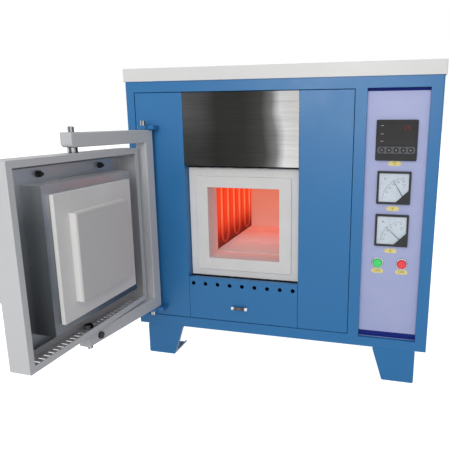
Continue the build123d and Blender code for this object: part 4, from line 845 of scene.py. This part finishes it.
def print_panel():
    """Stripes and oval tags on the control panel; the top stripe also paints the shadow under the recess's
    top edge.
    """
    low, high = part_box("control_panel")
    left, right = low.x + PANEL_EDGE, high.x - PANEL_EDGE
    bottom, top = low.z + PANEL_EDGE, high.z - PANEL_EDGE
    centre, width = (left + right) / 2, right - left
    navy = ink("panel_navy", linear(8, 30, 112), 0.5)
    stripes = Print(low.y)
    stripes.shape(bar(centre, bottom + LOW_STRIPE_RISE, width, LOW_STRIPE_HEIGHT))
    # The top stripe is printed navy, made deep enough to stand in also for the shadow under the recess's top
    # edge (painted shade).
    stripes.shape(bar(centre, top - TOP_STRIPE_AND_SHADE_HEIGHT / 2, width, TOP_STRIPE_AND_SHADE_HEIGHT))
    stripes.finish("panel_stripes_and_shade", navy, "cabinet")
    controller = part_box("controller_case")
    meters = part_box("meter_cases")
    meter_x = (meters[0].x + meters[1].x) / 2
    meter_size = meters[1].x - meters[0].x
    upper_bottom = meters[1].z - meter_size
    controller_x = middle("controller_window").x - CONTROLLER_TAG_SHIFT
    tags = [
        (controller_x, controller[0].z - CONTROLLER_TAG_DROP, "°C"),
        (meter_x, upper_bottom - UPPER_METER_TAG_DROP, "V"),
        (meter_x, meters[0].z - LOWER_METER_TAG_DROP, "A"),
    ]
    for button, word in (("start_button", "ON"), ("stop_button", "OFF")):
        place = middle(button)
        tags.append((place.x, place.z - BUTTON_TAG_DROP, word))
    ovals = Print(low.y)
    words = Print(low.y - INK, INK_ON_INK)
    for x, z, word in tags:
        ovals.shape(round_rectangle(x, z, TAG_WIDTH, TAG_HEIGHT, TAG_CORNER))
        words.text(word, x, z, TAG_WORD)
    ovals.finish("panel_tags", ink("tag_yellow", linear(230, 216, 142), 0.6), "cabinet")
    words.finish("panel_tag_words", ink("tag_brown", linear(132, 108, 40), 0.6), "cabinet")


# Print of the controller, in metres
STRIP_WIDTH = 0.087
STRIP_HEIGHT = 0.016
STRIP_CORNER = 0.006
KEY_HOLE = 0.0061
MARK_INSET = 0.0095
MARK_WIDTH = 0.007
MARK_HEIGHT = 0.0016
MARK_RISE = 0.006
MARK_DROPS = (0.0136, 0.033, 0.050)
SQUARE_OUTER = 0.0042
SQUARE_INNER = 0.0026
ARROW_RADIUS = 0.0028
ARROW_TURNS = {2: 180, 3: 270, 4: 90, 5: 0}
ARROW_CORNERS = (0, 125, 235)
DIGIT_INSETS = (0.024, 0.0155)
DIGIT_SEGMENTS = ("ABGED", "AFGCD")
DIGIT_DROP = 0.013
DIGIT_WIDTH = 0.0052
DIGIT_HEIGHT = 0.0095
DIGIT_STROKE = 0.17


def key_sign(number):
    """A hollow square on the first key and an arrow head on each of the others, as outlines."""
    key = middle(f"key_{number}")
    if number not in ARROW_TURNS:
        return [bar(key.x, key.z, size, size) for size in (SQUARE_OUTER, SQUARE_INNER)]
    angles = [math.radians(ARROW_TURNS[number] + step) for step in ARROW_CORNERS]
    return [[(key.x + ARROW_RADIUS * math.cos(a), key.z + ARROW_RADIUS * math.sin(a)) for a in angles]]


def print_controller():
    """Key strip with its symbols, small marks and two dim digits behind the window."""
    window_low, window_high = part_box("controller_window")
    x = (window_low.x + window_high.x) / 2
    keys = [middle(f"key_{number}") for number in KEYS]
    strip = Print(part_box("controller_case")[0].y)
    strip.shape(
        round_rectangle(x, keys[0].z, STRIP_WIDTH, STRIP_HEIGHT, STRIP_CORNER),
        *[circle(key.x, key.z, KEY_HOLE) for key in keys],
    )
    strip.finish("key_strip", moulded("strip_grey", linear(84, 86, 92), 0.5), "cabinet", "black_plastic")
    pale = ink("print_pale", linear(150, 150, 150), 0.5)
    marks = Print(window_low.y)
    for drop in MARK_DROPS:
        height = window_high.z + MARK_RISE - drop
        marks.shape(bar(window_low.x + MARK_INSET, height, MARK_WIDTH, MARK_HEIGHT))
    marks.finish("window_marks", pale, "cabinet")
    for number in KEYS:
        sign = Print(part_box(f"key_{number}")[0].y)
        sign.shape(*key_sign(number))
        sign.finish(f"key_{number}_sign", pale, f"key_{number}")
    digits = Print(window_low.y)
    for inset, lit in zip(DIGIT_INSETS, DIGIT_SEGMENTS):
        seven_segment(digits, window_high.x - inset, window_high.z - DIGIT_DROP, lit)
    digits.finish("display_digits", ink("digit_red", linear(120, 20, 22), 0.4, glow=0.5), "cabinet")


def seven_segment(target, x, z, lit):
    """One display digit, centred at x and z; lit names its segments, A on top and on clockwise."""
    stroke = DIGIT_WIDTH * DIGIT_STROKE
    half, rise = DIGIT_WIDTH / 2, DIGIT_HEIGHT / 2
    upright = rise - stroke * 1.4
    level = DIGIT_WIDTH - 2 * stroke
    places = {
        "A": (x, z + rise, level, stroke),
        "B": (x + half, z + rise / 2, stroke, upright),
        "C": (x + half, z - rise / 2, stroke, upright),
        "D": (x, z - rise, level, stroke),
        "E": (x - half, z - rise / 2, stroke, upright),
        "F": (x - half, z + rise / 2, stroke, upright),
        "G": (x, z, level, stroke),
    }
    for segment in lit:
        target.shape(bar(*places[segment]))


# Print of the meter dials: metres, degrees up from +X, and shares of the dial's size
SCALE_RADIUS = 0.0505
SCALE_LINE = 0.0005
SCALE_ARC = (92, 178)
ARC_STEPS = 40
TICKS = 20
TICKS_PER_LONG = 4
TICK_START = 176
TICK_SWEEP = 82
LONG_TICK = (0.0042, 0.00045)
SHORT_TICK = (0.0024, 0.0003)
NUMBER_START = 174
NUMBER_SWEEP = 78
NUMBER_INSET = 0.0055
NUMBER_SIZE = 0.0052
UNIT_PLACE = (0.20, 0.80)
UNIT_SIZE = 0.0095
NOTE_PLACE = (0.84, 0.62)
NOTE_LINES = 3
NOTE_PITCH = 0.045
NOTE_WIDTH = 0.009
NOTE_TAPER = 0.002
NOTE_HEIGHT = 0.0006
DIAL_CARD = 0.001
DIAL_NUMBERS = 6


def tick(x, z, degrees, length, width):
    """One tick of a scale round x and z, as an outline that starts on the scale's line."""
    angle = math.radians(degrees)
    along = Vector((math.cos(angle), math.sin(angle)))
    side = Vector((-along.y, along.x)) * width / 2
    centre = Vector((x, z))
    start = centre + along * SCALE_RADIUS
    end = centre + along * (SCALE_RADIUS + length)
    return [start + side, end + side, end - side, start - side]


def print_dial(name, joint, window, numbers, unit):
    """Scale of one meter round its needle's spindle, with ticks, numbers and a unit.

    window is the dial's visible square as (left, bottom, size).
    """
    pivot_x, _, pivot_z = joints[joint]["pos_m"]
    left, bottom, size = window
    scale = Print(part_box("meter_dials")[1].y - DIAL_CARD)
    scale.shape(sector(pivot_x, pivot_z, SCALE_RADIUS, SCALE_RADIUS + SCALE_LINE, *SCALE_ARC, ARC_STEPS))
    for i in range(TICKS + 1):
        length, width = SHORT_TICK if i % TICKS_PER_LONG else LONG_TICK
        scale.shape(tick(pivot_x, pivot_z, TICK_START - TICK_SWEEP * i / TICKS, length, width))
    for i, number in enumerate(numbers):
        angle = math.radians(NUMBER_START - NUMBER_SWEEP * i / (len(numbers) - 1))
        at = SCALE_RADIUS - NUMBER_INSET
        scale.text(number, pivot_x + at * math.cos(angle), pivot_z + at * math.sin(angle), NUMBER_SIZE)
    scale.text(unit, left + size * UNIT_PLACE[0], bottom + size * UNIT_PLACE[1], UNIT_SIZE)
    for i in range(NOTE_LINES):
        height = bottom + size * (NOTE_PLACE[1] - NOTE_PITCH * i)
        width = NOTE_WIDTH - NOTE_TAPER * i
        scale.shape(bar(left + size * NOTE_PLACE[0], height, width, NOTE_HEIGHT))
    dark = ink(f"{name}_ink", linear(42, 48, 60), 0.5)
    scale.finish(f"{name}_scale", dark, "cabinet", "dial_white")


def print_dials():
    low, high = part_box("meter_dials")
    size = high.x - low.x
    for name, bottom, step, unit in (
        ("voltmeter", high.z - size, 50, "V"),
        ("ammeter", low.z, 10, "A"),
    ):
        numbers = [str(step * i) for i in range(DIAL_NUMBERS)]
        print_dial(name, f"{name}_reading", (low.x, bottom, size), numbers, unit)


# Fasteners on the hidden sides: metres, and shares of a screw head's radius and height
HEAD_RADIUS = 0.0042
HEAD_HEIGHT = 0.0022
HEAD_STEPS = 20
HEAD_PROFILE = [(1.0, 0.0), (0.97, 0.45), (0.78, 0.82), (0.45, 1.0)]
CROSS_ARM = 0.11
CROSS_REACH = 0.36
CROSS_DEPTH = 0.45
SCREW_EDGE = 0.012
SIDE_INSET = 0.03
REAR_SCREWS = 5
SIDE_SCREWS = 4


def screw_head(mesh, place, axis):
    """A pan head with a cross recess, standing on place and looking along axis."""
    turn = Vector(axis).to_track_quat("Z", "Y").to_matrix()
    rings = []
    for share, rise in HEAD_PROFILE:
        radius = share * HEAD_RADIUS
        ring = []
        for i in range(HEAD_STEPS):
            angle = math.tau * i / HEAD_STEPS
            point = Vector((radius * math.cos(angle), radius * math.sin(angle), rise * HEAD_HEIGHT))
            ring.append(mesh.verts.new(Vector(place) + turn @ point))
        rings.append(ring)
    arm, reach = HEAD_RADIUS * CROSS_ARM, HEAD_RADIUS * CROSS_REACH
    floor = HEAD_HEIGHT - HEAD_HEIGHT * CROSS_DEPTH
    cross = [
        (arm, arm), (reach, arm), (reach, -arm), (arm, -arm), (arm, -reach), (-arm, -reach),
        (-arm, -arm), (-reach, -arm), (-reach, arm), (-arm, arm), (-arm, reach), (arm, reach),
    ]
    lip, pit = (
        [mesh.verts.new(Vector(place) + turn @ Vector((x, y, level))) for x, y in cross]
        for level in (HEAD_HEIGHT, floor)
    )
    for lower, upper in zip(rings, rings[1:]):
        for i in range(HEAD_STEPS):
            j = (i + 1) % HEAD_STEPS
            mesh.faces.new((lower[i], lower[j], upper[j], upper[i]))
    for i in range(len(cross)):
        j = (i + 1) % len(cross)
        mesh.faces.new((lip[i], lip[j], pit[j], pit[i]))
    mesh.faces.new(pit)
    bridge_top(mesh, rings[-1], lip)
    mesh.faces.new(list(reversed(rings[0])))


def bridge_top(mesh, ring, lip):
    """Fills the flat between a screw's round top and its cross recess."""
    normal_turn = (ring[0].co - ring[len(ring) // 2].co).normalized()
    centre = sum((v.co for v in ring), Vector()) / len(ring)
    normal = (ring[0].co - centre).cross(ring[1].co - centre).normalized()
    across = normal.cross(normal_turn)
    every = ring + lip
    loops = [
        [Vector(((v.co - centre).dot(normal_turn), (v.co - centre).dot(across), 0)) for v in loop]
        for loop in (ring, lip)
    ]
    for a, b, c in tessellate_polygon(loops):
        mesh.faces.new((every[a], every[b], every[c]))


def make_screws(name, places, axis, body, finish):
    mesh = bmesh.new()
    for place in places:
        screw_head(mesh, place, axis)
    bmesh.ops.recalc_face_normals(mesh, faces=mesh.faces)
    data = bpy.data.meshes.new(name)
    mesh.to_mesh(data)
    mesh.free()
    place_piece(name, data, finish, body)


def spread(start, end, count):
    """Evenly spaced values from start to end."""
    return [start + (end - start) * i / (count - 1) for i in range(count)]


def fasten_cabinet(finishes):
    """Screws round the rear panel and along the foot of each side panel."""
    low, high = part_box("rear_panel")
    xs = spread(low.x + SCREW_EDGE, high.x - SCREW_EDGE, REAR_SCREWS)
    zs = spread(low.z + SCREW_EDGE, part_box("top_lid")[0].z - SCREW_EDGE, REAR_SCREWS)
    rear = [(x, high.y, z) for x in xs for z in (zs[0], zs[-1])]
    rear += [(x, high.y, z) for x in (xs[0], xs[-1]) for z in zs[1:-1]]
    make_screws("rear_screws", rear, (0, 1, 0), "cabinet", finishes["chrome"])
    side_low, side_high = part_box("side_panels")
    ys = spread(side_low.y + SIDE_INSET, side_high.y - SIDE_INSET, SIDE_SCREWS)
    for name, x, axis in (("left", side_low.x, -1), ("right", side_high.x, 1)):
        places = [(x, y, side_low.z + SCREW_EDGE) for y in ys]
        make_screws(f"{name}_side_screws", places, (axis, 0, 0), "cabinet", finishes["chrome"])


# Studio, in metres and watts, with lamp shares of the light that shows white as white
AMBIENT = 0.54
FLOOR_SIZE = 30
FLOOR_TONE = 0.6
FLOOR_GLOW = 0.9
KEY_SHARE = 0.47
KEY_PLACE = (0.15, -3.4, 1.6)
LAMP_SIZE = 2.2
SHEEN_POWER = 44
SHEEN_PLACE = (-0.15, -3.0, 1.25)
SHEEN_SIZE = 1.0
FILL_SHARE = 0.22
FILL_PLACE = (-2.4, 3.2, 2.6)
TARGET = (0.0, 0.0, 0.4)


def any_ray(tree, *kinds):
    """A value of 1 for rays of any of the given kinds, and 0 for the rest."""
    rays = tree.nodes.new("ShaderNodeLightPath")
    value = rays.outputs[kinds[0]]
    for kind in kinds[1:]:
        either = tree.nodes.new("ShaderNodeMath")
        either.operation = "MAXIMUM"
        tree.links.new(value, either.inputs[0])
        tree.links.new(rays.outputs[kind], either.inputs[1])
        value = either.outputs["Value"]
    return value


def make_world():
    """White to the camera and in reflections, softer as the light that falls on the object."""
    world = bpy.data.worlds.new("studio")
    bpy.context.scene.world = world
    world.use_nodes = True
    tree = world.node_tree
    background = tree.nodes["Background"]
    seen = any_ray(tree, "Is Camera Ray", "Is Glossy Ray", "Is Transmission Ray")
    level = tree.nodes.new("ShaderNodeMapRange")
    tree.links.new(seen, level.inputs["Value"])
    level.inputs["To Min"].default_value = AMBIENT
    level.inputs["To Max"].default_value = 1.0
    tree.links.new(level.outputs["Result"], background.inputs["Strength"])
    background.inputs["Color"].default_value = (1, 1, 1, 1)


def make_floor():
    """A plain pale floor that shows white and keeps the object's soft shadow."""
    mesh = bmesh.new()
    bmesh.ops.create_grid(mesh, x_segments=1, y_segments=1, size=FLOOR_SIZE)
    data = bpy.data.meshes.new("floor")
    mesh.to_mesh(data)
    mesh.free()
    floor = bpy.data.objects.new("floor", data)
    bpy.context.scene.collection.objects.link(floor)
    material = bpy.data.materials.new("floor_white")
    material.use_nodes = True
    tree = material.node_tree
    surface = tree.nodes["Principled BSDF"]
    surface.inputs["Base Color"].default_value = (FLOOR_TONE, FLOOR_TONE, FLOOR_TONE, 1)
    surface.inputs["Roughness"].default_value = 0.9
    surface.inputs["Specular IOR Level"].default_value = 0.0
    glow = tree.nodes.new("ShaderNodeMath")
    glow.operation = "MULTIPLY"
    tree.links.new(any_ray(tree, "Is Camera Ray", "Is Glossy Ray"), glow.inputs[0])
    glow.inputs[1].default_value = FLOOR_GLOW
    surface.inputs["Emission Color"].default_value = (1, 1, 1, 1)
    tree.links.new(glow.outputs["Value"], surface.inputs["Emission Strength"])
    data.materials.append(material)


def make_lamp(name, place, size, power):
    """A square soft lamp that looks at the object."""
    place, target = Vector(place), Vector(TARGET)
    data = bpy.data.lights.new(name, "AREA")
    data.size = size
    data.energy = power
    lamp = bpy.data.objects.new(name, data)
    bpy.context.scene.collection.objects.link(lamp)
    turn = (target - place).to_track_quat("-Z", "Y").to_matrix().to_4x4()
    lamp.matrix_world = Matrix.Translation(place) @ turn
    return lamp


def make_lamps():
    """A large key lamp in front, a weak fill behind, and a lamp that only adds sheen to the front's paint."""
    for name, place, share in (("key", KEY_PLACE, KEY_SHARE), ("fill", FILL_PLACE, FILL_SHARE)):
        distance = (Vector(TARGET) - Vector(place)).length
        lamp = make_lamp(name, place, LAMP_SIZE, share * (math.pi * distance) ** 2)
        lamp.visible_glossy = False
    sheen = make_lamp("sheen", SHEEN_PLACE, SHEEN_SIZE, SHEEN_POWER)
    sheen.visible_diffuse = False
    painted = bpy.data.collections.new("painted_front")
    for name in ("front_frame", "front_panels", "drawer_front", "top_lid"):
        painted.objects.link(nodes[name])
    sheen.light_linking.receiver_collection = painted


make_camera()
finishes = make_finishes()
dress_nodes(finishes)
print_panel()
print_controller()
print_dials()
fasten_cabinet(finishes)
make_world()
make_floor()
make_lamps()
bpy.context.scene.view_settings.view_transform = "Standard"
